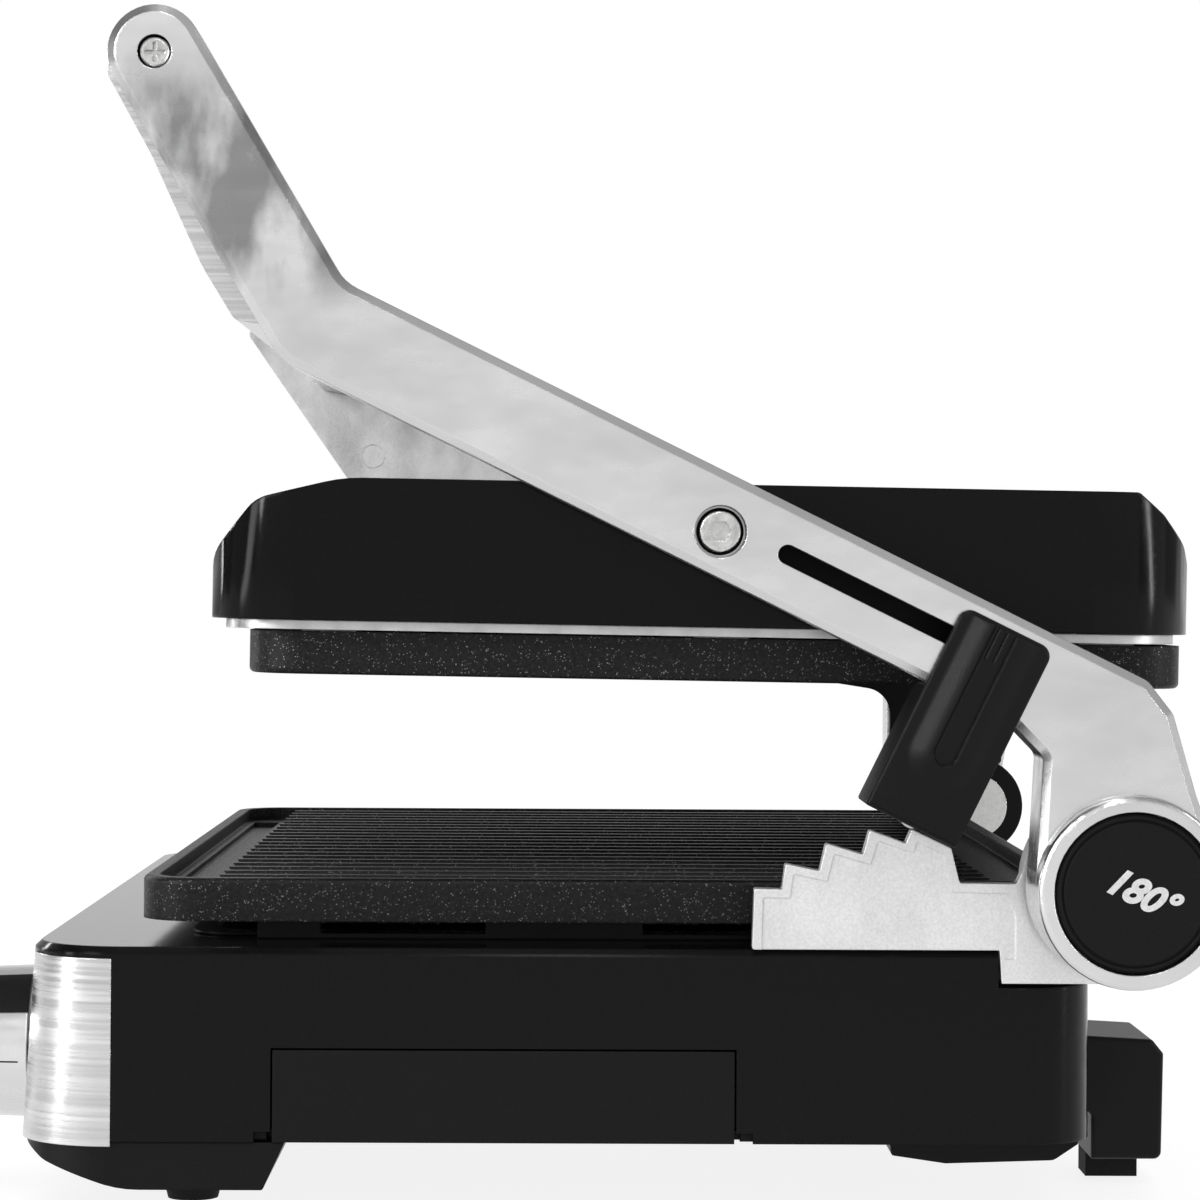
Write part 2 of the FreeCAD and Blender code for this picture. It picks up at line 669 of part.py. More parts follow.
def release_button():
    disc = cyl_x(BUTTON_BACK, BUTTON_FACE, HINGE_Y, HINGE_Z, BUTTON_R)
    disc = beveled(disc, 0.7, edge_in_plane("X", BUTTON_FACE))
    groove = cyl_x(BUTTON_FACE - 0.5, BUTTON_FACE + 1, HINGE_Y, HINGE_Z, 17.9)
    groove = groove.cut(cyl_x(BUTTON_FACE - 1, BUTTON_FACE + 2, HINGE_Y, HINGE_Z, 17.3))
    stem = cyl_x(172.5, BUTTON_BACK + 1, HINGE_Y, HINGE_Z, STEM_R)
    return disc.cut(groove).fuse(stem).removeSplitter()


stem_bore = cyl_x(168, 185, HINGE_Y, HINGE_Z, STEM_R + FIT)
export(hinge_shaft().cut(stem_bore), "hinge_shaft_right")
export(mirrored(hinge_shaft()), "hinge_shaft_left")
export(release_button(), "hinge_button_right")
cap = cyl_x(BUTTON_BACK, BOSS_OUT - 0.3, HINGE_Y, HINGE_Z, LEFT_CAP_R)
export(mirrored(beveled(cap, 0.6, edge_in_plane("X", BOSS_OUT - 0.3))), "hinge_cap_left")

# ---------------------------------------------------------------- arms
low_n = ARM_RISE - ARM_HALF_H
high_n = ARM_RISE + ARM_HALF_H
outer_elbow = meet(on_leg(0, low_n), LEG, on_handle(0, -HANDLE_HALF_H), HANDLE_RUN)
REAR_TOP = (141.9, 133.2)
BOSS_TOP_REAR = (152.8, 106.8)
INNER_REAR = (109.0, 123.0)
INNER_LOW = (115.7, 116.1)
REAR_BEND = (147.1, 126.5)
rear_run = (REAR_TOP[0] - REAR_BEND[0], REAR_TOP[1] - REAR_BEND[1])
rear_top = meet(on_leg(0, high_n), LEG, REAR_BEND, rear_run)
inner_run = (INNER_REAR[0] - INNER_LOW[0], INNER_REAR[1] - INNER_LOW[1])
inner_rear = meet(on_leg(0, low_n), LEG, INNER_LOW, inner_run)



def arm_top(rear_w, tip_r):
    """Outline from the hinge's rear side over the elbow and round the handle end."""
    elbow = meet(on_leg(0, high_n), LEG, on_handle(0, rear_w), HANDLE_RUN)
    return [
        REAR_BEND + (4.0,),
        rear_top + (5.0,),
        elbow + (12.0,),
        on_handle(-HANDLE_HALF_H, rear_w) + (tip_r,),
        on_handle(-HANDLE_HALF_H, -HANDLE_HALF_H) + (tip_r,),
        outer_elbow + (14.0,),
    ]


right_outline = arm_top(HANDLE_HALF_H, HANDLE_HALF_H - 0.1) + [
    inner_rear + (8.0,),
    INNER_LOW + (3.0,),
    (HINGE_Y - BOSS_R + 0.4, HINGE_Z + 4.0, 0),
    (HINGE_Y, HINGE_Z - 4.0, 0),
    (HINGE_Y + BOSS_R - 0.2, HINGE_Z + 2.0, 0),
    BOSS_TOP_REAR + (10.0,),
]
# the left arm has a slimmer neck, handle leg and boss
LEFT_HANDLE_W = 6.8            # rear side of its handle leg from the leg's centre line
NECK_Y = 109.0
neck_top = meet(on_leg(0, low_n), LEG, (NECK_Y, 0), (0, 1))
left_outline = arm_top(LEFT_HANDLE_W, 9.0) + [
    neck_top + (8.0,),
    (NECK_Y, HINGE_Z + 16.0, 6.0),
    (HINGE_Y - LEFT_BOSS_R + 1.0, HINGE_Z + 2.0, 0),
    (HINGE_Y, HINGE_Z - 4.0, 0),
    (HINGE_Y + LEFT_BOSS_R - 1.0, HINGE_Z + 2.0, 0),
    (HINGE_Y + 11.0, HINGE_Z + 13.0, 2.0),
    (HINGE_Y + 13.3, HINGE_Z + 26.5, 8.0),
]


def arm_core(outline, boss_r, cup_r):
    solid = side_prism(outline, ARM_IN, ARM_OUT)

    def rim(edge):
        mid = edge.CenterOfMass
        away = math.hypot(mid.y - HINGE_Y, mid.z - HINGE_Z) > boss_r - 2
        return away and edge_in_plane("X", ARM_OUT)(edge)

    solid = beveled(solid, RIM_BEVEL, rim)
    boss = cyl_x(ARM_IN, BOSS_OUT, HINGE_Y, HINGE_Z, boss_r)
    boss = softened(boss, 1.6, edge_in_plane("X", BOSS_OUT))
    solid = solid.fuse(boss).removeSplitter()
    solid = solid.cut(cyl_x(CUP_FLOOR, BOSS_OUT + 5, HINGE_Y, HINGE_Z, cup_r))
    solid = solid.cut(cyl_x(ARM_IN - 5, CUP_FLOOR + 5, HINGE_Y, HINGE_Z, SHAFT_R + FIT))
    # counterbore and bore for the lid's pivot bolt
    solid = solid.cut(cyl_x(ARM_OUT - 6.5, ARM_OUT + 1, BOLT_Y, BOLT_Z, 6.4))
    solid = solid.cut(cyl_x(ARM_IN - 1, ARM_OUT, BOLT_Y, BOLT_Z, BOLT_R + FIT))
    # sunk seat for the handle screw
    solid = solid.cut(cyl_x(ARM_OUT - 4.5, ARM_OUT + 1, *HANDLE_END, 4.1))
    solid = solid.cut(cyl_x(ARM_IN - 1, ARM_OUT, *HANDLE_END, 2.3))
    # the casting is cored from its inner face behind the handle
    core = [(12, -7.5, 3), (12, 7.5, 3), (62, 7.5, 3), (62, -7.5, 3)]
    return solid.cut(handle_prism(core, ARM_IN - 1, ARM_OUT - 5))


slot_front = SLOT_PIN_A + SLIDER_TRAVEL + 1.4
slot_back = SLOT_PIN_A - 1.4


def slot_cut(half_w, a0, a1, x0, x1):
    """A round-ended slot along the long leg."""
    r = half_w * 0.98
    pts = [
        (a0 - half_w, SLOT_N - half_w, r),
        (a1 + half_w, SLOT_N - half_w, r),
        (a1 + half_w, SLOT_N + half_w, r),
        (a0 - half_w, SLOT_N + half_w, r),
    ]
    return leg_prism(pts, x0, x1)


arm = arm_core(right_outline, BOSS_R, BUTTON_R + GAP)
slot = slot_cut(SLOT_W / 2, slot_back, slot_front, ARM_IN - 1, ARM_OUT + 1)
slot_pocket = slot_cut(SLOT_POCKET_W / 2, slot_back, slot_front, ARM_IN - 1, ARM_OUT - 7)
arm_right = arm.cut(slot).cut(slot_pocket)
export(arm_right, "arm_right")

# The left arm has no slot.
leg_core = leg_prism([(66, 28, 3), (66, 43, 3), (112, 43, 3), (112, 28, 3)], ARM_IN - 1, ARM_OUT - 5)
plain_arm = arm_core(left_outline, LEFT_BOSS_R, LEFT_CAP_R + FIT)
export(mirrored(plain_arm.cut(leg_core)), "arm_left")
COVER_T = 1.5


def arm_cover(points):
    """Black inner cover of an arm, on its inner face."""
    return side_prism(points, ARM_IN - COVER_T, ARM_IN - 0.05)


right_cover = [
    on_leg(62, low_n + 1.6) + (3.0,),
    on_leg(62, high_n - 1.4) + (3.0,),
    on_leg(118, high_n - 1.4) + (3.0,),
    on_leg(118, low_n + 1.6) + (3.0,),
]
left_cover = [
    on_leg(118, low_n + 1.6) + (3.0,),
    (84.0, 125.2, 3.0),
    (NECK_Y + 0.9, 121.2, 9.0),
    (NECK_Y + 0.9, HINGE_Z + 14.0, 3.0),
    (HINGE_Y, HINGE_Z, 0),
    (HINGE_Y + 10.4, HINGE_Z + 14.5, 2.0),
    (HINGE_Y + 10.4, HINGE_Z + 34.0, 6.0),
    on_leg(22, high_n - 1.4) + (4.0,),
    on_leg(118, high_n - 1.4) + (3.0,),
]
export(arm_cover(right_cover), "arm_cover_right")
inner_left = arm_cover(left_cover).cut(cyl_x(ARM_IN - 5, ARM_IN, HINGE_Y, HINGE_Z, LEFT_BOSS_R))
export(mirrored(inner_left), "arm_cover_left")

# handle between the arms: a bright front shell over a black grip
shell_pts = [
    (-9.0, -9.0, 4.0),
    (-6.0, -13.2, 5.0),
    (18.0, -13.9, 40.0),
    (48.0, -17.0, 30.0),
    (63.5, -16.8, 3.0),
    (69.5, -9.5, 2.0),
    (66.0, -4.0, 0),
    (-8.0, -4.0, 0),
]
grip_pts = [
    (-8.0, -3.9, 0),
    (66.0, -3.9, 0),
    (66.0, 0.0, 4.0),
    (30.0, LEFT_HANDLE_W - 0.4, 40.0),
    (-8.0, 6.0, 6.0),
]
hollow_pts = [
    (-7.6, -8.4, 2.6),
    (-4.9, -11.8, 3.6),
    (18.0, -12.5, 38.6),
    (48.0, -15.6, 28.6),
    (62.6, -15.4, 1.6),
    (67.9, -9.2, 0.6),
    (65.0, -3.0, 0),
    (-7.0, -3.0, 0),
]
handle_shell = handle_prism(shell_pts, -ARM_IN + 0.1, ARM_IN - 0.1)
handle_shell = handle_shell.cut(handle_prism(hollow_pts, -ARM_IN + 3.0, ARM_IN - 3.0))
export(handle_shell, "handle_shell")
handle_grip = handle_prism(grip_pts, -ARM_IN + 0.1, ARM_IN - 0.1)
for side in (-1, 1):
    x0, x1 = sorted((side * (ARM_IN - 24), side * ARM_IN))
    handle_grip = handle_grip.cut(cyl_x(x0, x1, *HANDLE_END, 2.3))
export(handle_grip, "handle_grip")


# plate under the left elbow
web_outline = [
    (-109.5, 243.5, 2.0),
    (-60.0, 172.4, 6.0),
    (12.0, 172.4, 3.0),
    on_leg(146, 42) + (3.0,),
    on_leg(200, 42) + (0,),
    on_handle(60, 4) + (0,),
]
web = side_prism(web_outline, -ARM_IN + 0.05, -ARM_IN + WEB_T)
for piece in (shell_pts, grip_pts):
    web = web.cut(handle_prism(piece, -ARM_IN, -ARM_IN + 10))
for a, n in ((185, 37), (160, 30)):
    head = cyl_x(-ARM_IN + WEB_T - 0.2, -ARM_IN + WEB_T + 1.4, *on_leg(a, n), 3.4)
    web = web.fuse(head)
export(web.removeSplitter(), "elbow_web_left")


def cross_screw(x_head, x_end, y, z, head_r, head_h, shank_r):
    head = cyl_x(x_head - head_h, x_head, y, z, head_r)
    shank = cyl_x(x_end, x_head - head_h + 0.2, y, z, shank_r)
    body = softened(fused([head, shank]), 0.8, edge_in_plane("X", x_head))
    for a, b in ((0.45, 2.4), (2.4, 0.45)):
        body = body.cut(box(x_head - 1.6, x_head + 1, y - a, y + a, z - b, z + b))
    return body


handle_screw = cross_screw(ARM_OUT - 1.2, ARM_IN - 16, *HANDLE_END, 3.7, 3.0, 2.1)
export(handle_screw, "handle_screw_right")
export(mirrored(handle_screw), "handle_screw_left")

# ---------------------------------------------------------------- lid pivot bolts
def pivot_bolt():
    head = cyl_x(ARM_OUT - 6.2, ARM_OUT - 0.8, BOLT_Y, BOLT_Z, 5.0)
    head = softened(head, 0.6, edge_in_plane("X", ARM_OUT - 0.8))
    shank = cyl_x(151.5, ARM_OUT - 6.0, BOLT_Y, BOLT_Z, BOLT_R)
    hexagon = []
    for i in range(7):
        turn = math.radians(60 * i)
        corner = V(ARM_OUT - 4, BOLT_Y + HEX_R * math.cos(turn), BOLT_Z + HEX_R * math.sin(turn))
        hexagon.append(corner)
    socket = Part.Face(Part.makePolygon(hexagon)).extrude(V(6, 0, 0))
    return fused([head, shank]).cut(socket)


export(pivot_bolt(), "pivot_bolt_right")
export(mirrored(pivot_bolt()), "pivot_bolt_left")

# ---------------------------------------------------------------- height slider
a0 = SLIDER_A - SLIDER_W / 2
a1 = SLIDER_A + SLIDER_W / 2


def slider_slab(rear, low, high, low_r, high_r, x0, x1):
    corners = [(rear, low, low_r), (a1, low, low_r), (a1, high, high_r), (rear, high, high_r)]
    return leg_prism(corners, x0, x1)


slider = slider_slab(a0, SLIDER_LOW, SLIDER_HIGH, 0.8, 3.2, ARM_OUT + GAP, SLIDER_OUT)
slider = softened(slider, 0.9, edge_in_plane("X", SLIDER_OUT))
inward_rear = a0 + 1.4            # clear of the bend into the arm's neck
inward = slider_slab(inward_rear, SLIDER_LOW, low_n - GAP - 0.2, 0.8, 0.6, RACK_OUT + 0.9, ARM_OUT + GAP + 1)
slider = slider.fuse(inward).removeSplitter()


def slider_cut(a, b, low, high, r, depth):
    """A sunk panel in the slider's face, open at its upper end where r rounds the lower one."""
    corners = [(a0 + a, low, r), (a0 + b, low, r), (a0 + b, high, 0), (a0 + a, high, 0)]
    return leg_prism(corners, SLIDER_OUT - depth, SLIDER_OUT + 1)


slider = slider.cut(slider_cut(8.0, 13.4, 2.0, SLIDER_HIGH + 2, 2.6, 1.0))
for a in (4.0, 6.0):
    slider = slider.cut(slider_cut(a - 0.3, a + 0.3, 30, 40, 0, 0.6))
pin_y, pin_z = on_leg(SLOT_PIN_A, SLOT_N)
slider = slider.cut(cyl_x(ARM_OUT - 1, ARM_OUT + GAP + 2.5, pin_y, pin_z, PIN_R + FIT))
peg_y, peg_z = on_leg(PEG_A, PEG_N)
slider = slider.cut(cyl_x(RACK_OUT, RACK_OUT + 8, peg_y, peg_z, PEG_R))
export(slider, "height_slider")

pin = cyl_x(ARM_OUT - 9.5, ARM_OUT + GAP + 2.4, pin_y, pin_z, PIN_R)
pin = pin.fuse(cyl_x(ARM_OUT - 9.5, ARM_OUT - 7.5, pin_y, pin_z, 5.6)).removeSplitter()
export(pin, "slider_pin")
export(cyl_x(RACK_IN + 0.2, RACK_OUT + 7.8, peg_y, peg_z, PEG_R - 0.02), "slider_peg")

# ---------------------------------------------------------------- lid
def lid_profile(inset):
    top = LID_TOP - inset
    return [
        (LID_FRONT + inset, LID_BOTTOM - (5 if inset else 0), 0),
        (LID_FRONT + inset, LID_TOP - 20.0, 12.0),
        (LID_FRONT + 12.0, LID_TOP - 5.5 - inset, 10.0),
        (LID_FRONT + 34.0, top, 40.0),
        (LID_REAR - 16.0, top, 2.0),
        (LID_REAR - 9.0, top - 5.5, 6.0),
        (LID_REAR - 2.5 - inset * 0.6, LID_TOP - 13.0 - inset, 8.0),
        (LID_REAR - inset, LID_BOTTOM + 16, 0),
        (LID_REAR - inset, LID_BOTTOM - (5 if inset else 0), 0),
    ]


def lid_block(inset):
    half = LID_HALF_W - inset
    front = LID_FRONT + inset
    rear = LID_REAR - inset
    corners = plan_rect(half, front, rear, LID_R_FRONT - inset, LID_R_REAR - inset)
    plan = plan_prism(corners, LID_BOTTOM - 10, LID_TOP + 10)
    return side_prism(lid_profile(inset), -half - 1, half + 1).common(plan)


def tilt(shape):
    turned = shape.copy()
    turned.rotate(V(0, BOLT_Y, BOLT_Z), V(1, 0, 0), -LID_TILT)
    return turned


LUG_R = 9.0
TOP_HALF_W = 150.0
TOP_FRONT = -44.0
TOP_REAR = 138.0
TOP_T = 0.9


def top_plate(slack, z0, z1):
    corners = plan_rect(TOP_HALF_W + slack, TOP_FRONT - slack, TOP_REAR + slack, 8, 8)
    return plan_prism(corners, z0, z1)


lid_shell = lid_block(0).cut(lid_block(LID_WALL))
lid_shell = lid_shell.cut(top_plate(0.2, LID_TOP - TOP_T, LID_TOP + 1))
for side in (-1, 1):
    x0, x1 = sorted((side * 150, side * 165))
    lid_shell = lid_shell.cut(cyl_x(x0, x1, BOLT_Y, BOLT_Z, LUG_R + 0.1))
export(tilt(lid_shell), "upper_shell")
export(tilt(top_plate(0, LID_TOP - TOP_T + 0.1, LID_TOP + 0.1)), "upper_top_panel")

FRAME_Z0 = 144.2
frame = plan_prism(plan_rect(155.0, LID_FRONT + 3.6, LID_REAR - 3.4, 18, 22), FRAME_Z0, LID_BOTTOM - 0.1)
frame = frame.cut(box(-128, 128, -62, 140, FRAME_Z0 - 1, LID_BOTTOM + 1))
back_z = UPPER_PLATE_FACE + RIB_H + 0.2 + SKIN
for x in (-136, 136):
    for y in (-60, 40, 138):
        frame = frame.fuse(box(x - 5, x + 5, y - 7, y + 7, back_z + 0.1, FRAME_Z0 + 0.2))
export(tilt(frame.removeSplitter()), "upper_frame")

upper_plate = grill_plate(UPPER_PLATE_FRONT).mirror(V(0, 0, 0), V(0, 0, 1))
upper_plate.translate(V(0, 0, UPPER_PLATE_FACE))
export(tilt(upper_plate), "upper_plate")

upper_pan = pan(130, -64, 142, 0, 14, 6, 0.9).mirror(V(0, 0, 7), V(0, 0, 1))
upper_pan.translate(V(0, 0, LID_BOTTOM + 0.1))
for x in (-60, 60):
    upper_pan = upper_pan.cut(cyl_y(134, 150, x, 151, 5))
export(tilt(upper_pan), "upper_reflector")
export(tilt(element(-34, 112, 151, 146)), "upper_heating_element")


def pivot_lug():
    lug = cyl_x(146.5, ARM_IN - COVER_T - 0.5, BOLT_Y, BOLT_Z, LUG_R)
    pad = box(146.5, 150.5, BOLT_Y - 22, BOLT_Y + 22, LID_BOTTOM + 1.2, BOLT_Z + 6)
    foot = box(138.0, 150.5, BOLT_Y - 22, BOLT_Y + 22, LID_BOTTOM + 1.2, LID_BOTTOM + 4.0)
    solid = fused([lug, pad, foot])
    return solid.cut(cyl_x(140, ARM_IN, BOLT_Y, BOLT_Z, BOLT_R + FIT))


export(tilt(pivot_lug()), "pivot_lug_right")
export(tilt(mirrored(pivot_lug())), "pivot_lug_left")

# ---------------------------------------------------------------- drip tray
tray_x1 = BASE_HALF_W - 3.4
tray_x0 = tray_x1 - TRAY_DEEP
tray_z0 = floor_z1 + GAP


def tray_block(inset, z0, z1, r):
    low = V(tray_x0 + inset, TRAY_Y0 + TRAY_SIDE_GAP + inset, z0)
    high = V(tray_x1 - inset, TRAY_Y1 - TRAY_SIDE_GAP - inset, z1)
    corners = [(low.x, low.y, r), (high.x, low.y, r), (high.x, high.y, r), (low.x, high.y, r)]
    return plan_prism(corners, z0, z1)


tray_out = tray_block(0, tray_z0, TRAY_TOP - 2.4, 5.0)
tray_in = tray_block(TRAY_WALL, tray_z0 + TRAY_WALL, TRAY_TOP, 5.0 - TRAY_WALL)
export(tray_out.cut(tray_in), "drip_tray")

front_zone = box(tray_x1 + 0.05, FAR, TRAY_Y0, TRAY_Y1, BASE_BOTTOM, TRAY_TOP)
tray_front = base_block(BASE_BOTTOM, TRAY_TOP, 0).common(front_zone)
export(tray_front, "drip_tray_front")

# ---------------------------------------------------------------- front knob
KNOB_TAPER = 0.9
INLAY_T = 2.2
INLAY_FROM = 28.0              # degrees above the horizontal
INLAY_TO = 66.0
POT_FRONT = -133.0


def knob_cone(grow):
    """The knob's tapered drum, its radius larger by grow."""
    r = KNOB_R + grow
    return Part.makeCone(r, r - KNOB_TAPER, KNOB_BACK - KNOB_TIP, V(KNOB_X, KNOB_BACK, KNOB_Z), V(0, -1, 0))


def knob_drum():
    drum = softened(knob_cone(0), 1.4, edge_in_plane("Y", KNOB_TIP))
    return drum.cut(cyl_y(KNOB_BACK - 14, KNOB_BACK + 1, KNOB_X, KNOB_Z, KNOB_SHAFT_R))


def knob_inlay():
    """Black strip let into the side of a knob."""
    ring = knob_cone(0.1)
    ring = ring.cut(cyl_y(KNOB_TIP - 1, KNOB_BACK + 1, KNOB_X, KNOB_Z, KNOB_R - INLAY_T))
    wedge = [V(KNOB_X, KNOB_TIP - 5, KNOB_Z)]
    for angle in (INLAY_FROM, INLAY_TO):
        turn = math.radians(angle)
        wedge.append(wedge[0] + V(2 * KNOB_R * math.cos(turn), 0, 2 * KNOB_R * math.sin(turn)))
    sector = Part.Face(Part.makePolygon(wedge + [wedge[0]])).extrude(V(0, 60, 0))
    return ring.common(sector).common(box(0, FAR, KNOB_TIP + 2.4, KNOB_BACK + 1, 0, 100))


def knob_shaft():
    return cyl_y(KNOB_BACK - 13.5, -119.0, KNOB_X, KNOB_Z, KNOB_SHAFT_R - 0.01)


def control():
    """The rotary control behind a knob, on its bushing."""
    case = box(KNOB_X - 9, KNOB_X + 9, -127.0, -118.0, KNOB_Z - 9, KNOB_Z + 9)
    case = case.fuse(cyl_y(POT_FRONT, -126.0, KNOB_X, KNOB_Z, 5.0)).removeSplitter()
    return case.cut(cyl_y(-140, -110, KNOB_X, KNOB_Z, KNOB_SHAFT_R + FIT))


inlay = knob_inlay()
export(knob_drum().cut(inlay), "knob")
export(inlay, "knob_inlay")
export(knob_shaft(), "knob_shaft")
export(control(), "rotary_control")
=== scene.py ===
"""Looks of a contact grill with a floating lid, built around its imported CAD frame."""

import json
import math

import bmesh
import bpy
from mathutils import Matrix, Vector


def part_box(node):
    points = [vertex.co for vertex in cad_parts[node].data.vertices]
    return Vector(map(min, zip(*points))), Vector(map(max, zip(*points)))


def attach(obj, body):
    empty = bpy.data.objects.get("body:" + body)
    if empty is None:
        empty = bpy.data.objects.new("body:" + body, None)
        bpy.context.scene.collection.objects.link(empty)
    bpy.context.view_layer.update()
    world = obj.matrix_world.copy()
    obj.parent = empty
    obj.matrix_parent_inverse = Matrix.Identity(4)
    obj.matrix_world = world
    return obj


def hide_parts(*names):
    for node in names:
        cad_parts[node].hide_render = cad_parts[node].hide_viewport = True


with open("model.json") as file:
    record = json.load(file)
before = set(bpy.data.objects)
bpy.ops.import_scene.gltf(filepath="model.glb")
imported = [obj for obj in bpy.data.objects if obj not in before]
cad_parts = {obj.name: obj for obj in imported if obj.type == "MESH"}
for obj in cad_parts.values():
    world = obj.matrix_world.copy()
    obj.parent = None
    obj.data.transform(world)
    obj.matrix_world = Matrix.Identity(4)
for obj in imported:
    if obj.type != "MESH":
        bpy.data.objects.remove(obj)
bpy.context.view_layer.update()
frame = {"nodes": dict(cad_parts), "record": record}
MM = 0.001
JOINTS = {j["name"]: j for j in frame["record"]["behaviour"]["joints"]}

# ---------------------------------------------------------------- camera
SENSOR = 36.0                  # width in mm
FOCAL = 111.0                  # mm
CAMERA_SPOT = Vector((1.082, 0.0, 0.1575))
LOOK = Vector((-1.0, 0.0092, -0.0046))
CAMERA_UP = Vector((0.0, -0.0052, 1.0))


def make_camera():
    data = bpy.data.cameras.new("camera")
    data.sensor_width = SENSOR
    data.lens = FOCAL
    data.clip_start = 0.01
    data.clip_end = 100.0
    camera = bpy.data.objects.new("camera", data)
    bpy.context.scene.collection.objects.link(camera)
    forward = LOOK.normalized()
    right = forward.cross(CAMERA_UP).normalized()
    up = right.cross(forward)
    turn = Matrix((right, up, -forward)).transposed().to_4x4()
    camera.matrix_world = Matrix.Translation(CAMERA_SPOT) @ turn
    bpy.context.scene.camera = camera


# ---------------------------------------------------------------- node helpers
class Nodes:
    """Short ways to add and join shader nodes in one tree."""

    def __init__(self, tree):
        self.tree = tree
        self.tree.nodes.clear()

    def add(self, kind, inputs=(), **values):
        node = self.tree.nodes.new(kind)
        for key, value in values.items():
            setattr(node, key, value)
        for key, value in dict(inputs).items():
            if isinstance(value, bpy.types.NodeSocket):
                self.tree.links.new(value, node.inputs[key])
            else:
                node.inputs[key].default_value = value
        return node

    def place(self, stretch):
        """Object coordinates scaled by stretch."""
        spot = self.add("ShaderNodeTexCoord")
        scaled = self.add("ShaderNodeMapping", {"Vector": spot.outputs["Object"], "Scale": stretch})
        return scaled.outputs["Vector"]

    def noise(self, scale, detail=3.0, stretch=(1, 1, 1)):
        vector = self.place(stretch)
        node = self.add("ShaderNodeTexNoise", {"Vector": vector, "Scale": scale, "Detail": detail})
        return node.outputs["Fac"]

    def ramp(self, factor, stops):
        """stops are (position, grey or colour)."""
        node = self.add("ShaderNodeValToRGB", {"Fac": factor})
        marks = node.color_ramp.elements
        while len(marks) < len(stops):
            marks.new(0.5)
        for mark, (position, tone) in zip(marks, stops):
            mark.position = position
            rgb = (tone, tone, tone) if isinstance(tone, (int, float)) else tone
            mark.color = (*rgb, 1.0)
        return node.outputs["Color"]

    def span(self, factor, low, high):
        """The middle part of a noise value spread from low to high."""
        node = self.add("ShaderNodeMapRange", {"Value": factor, "To Min": low, "To Max": high})
        node.inputs["From Min"].default_value = 0.3
        node.inputs["From Max"].default_value = 0.7
        return node.outputs["Result"]

    def math(self, operation, a, b=0.0, c=0.0):
        return self.add("ShaderNodeMath", {0: a, 1: b, 2: c}, operation=operation).outputs[0]

    def blend(self, factor, a, b, mode="MIX"):
        """Colour a turned into colour b by factor."""
        node = self.add("ShaderNodeMix", data_type="RGBA", blend_type=mode)
        for index, value in ((0, factor), (6, a), (7, b)):
            if isinstance(value, bpy.types.NodeSocket):
                self.tree.links.new(value, node.inputs[index])
            else:
                node.inputs[index].default_value = value if index == 0 else (*value, 1.0)
        return node.outputs[2]

    def normal(self, height, depth, edge):
        """Bump of the given depth over edges rounded by edge, both in metres."""
        rounded = self.add("ShaderNodeBevel", {"Radius": edge}, samples=4)
        bump = self.add("ShaderNodeBump", {"Height": height, "Distance": depth, "Strength": 1.0})
        self.tree.links.new(rounded.outputs["Normal"], bump.inputs["Normal"])
        return bump.outputs["Normal"]


def material(name, fill, **fixed):
    """A material whose shader sockets come from fill(nodes) and from fixed values."""
    made = bpy.data.materials.new(name)
    made.use_nodes = True
    nodes = Nodes(made.node_tree)
    shader = nodes.add("ShaderNodeBsdfPrincipled")
    for key, value in fixed.items():
        shader.inputs[key.replace("_", " ")].default_value = value
    for key, socket in fill(nodes).items():
        made.node_tree.links.new(socket, shader.inputs[key])
    output = nodes.add("ShaderNodeOutputMaterial")
    made.node_tree.links.new(shader.outputs[0], output.inputs["Surface"])
    return made


# ---------------------------------------------------------------- materials
def polished_look(nodes):
    """Polished cast aluminium: soft mottling, fine scratches and a painted dark reflection streaked
    along the grips.
    """
    mottle = nodes.noise(22.0, 4.0, (1.0, 0.5, 1.0))
    cloud = nodes.ramp(mottle, [(0.30, 0.60), (0.55, 0.685), (0.75, 0.70)])
    scratch = nodes.noise(260.0, 5.0, (1.0, 0.25, 0.6))
    tone = nodes.blend(0.10, cloud, nodes.ramp(scratch, [(0.35, 0.45), (0.65, 0.78)]))
    parts = nodes.add("ShaderNodeSeparateXYZ", {"Vector": nodes.place((1, 1, 1))})
    # painted reflection: the grips are darkened in streaks, standing in for a dark reflection in the
    # polished metal
    on_grip = [(0.222, 0.0), (0.236, 1.0), (0.272, 1.0), (0.286, 0.0)]
    high_up = nodes.ramp(parts.outputs["Z"], on_grip)
    reflection_streaks = nodes.noise(60.0, 5.0, (1.0, 1.0, 0.45))
    grip_dark_reflection = nodes.math("MULTIPLY", high_up, nodes.ramp(reflection_streaks, [(0.38, 0.0), (0.56, 1.0)]))
    tone = nodes.blend(nodes.math("MULTIPLY", grip_dark_reflection, 0.8), tone, (0.16, 0.16, 0.165))
    height = nodes.noise(300.0, 3.0, (1.0, 0.6, 1.0))
    return {
        "Base Color": tone,
        "Roughness": nodes.span(scratch, 0.20, 0.31),
        "Normal": nodes.normal(height, 3.0e-6, 5e-4),
    }


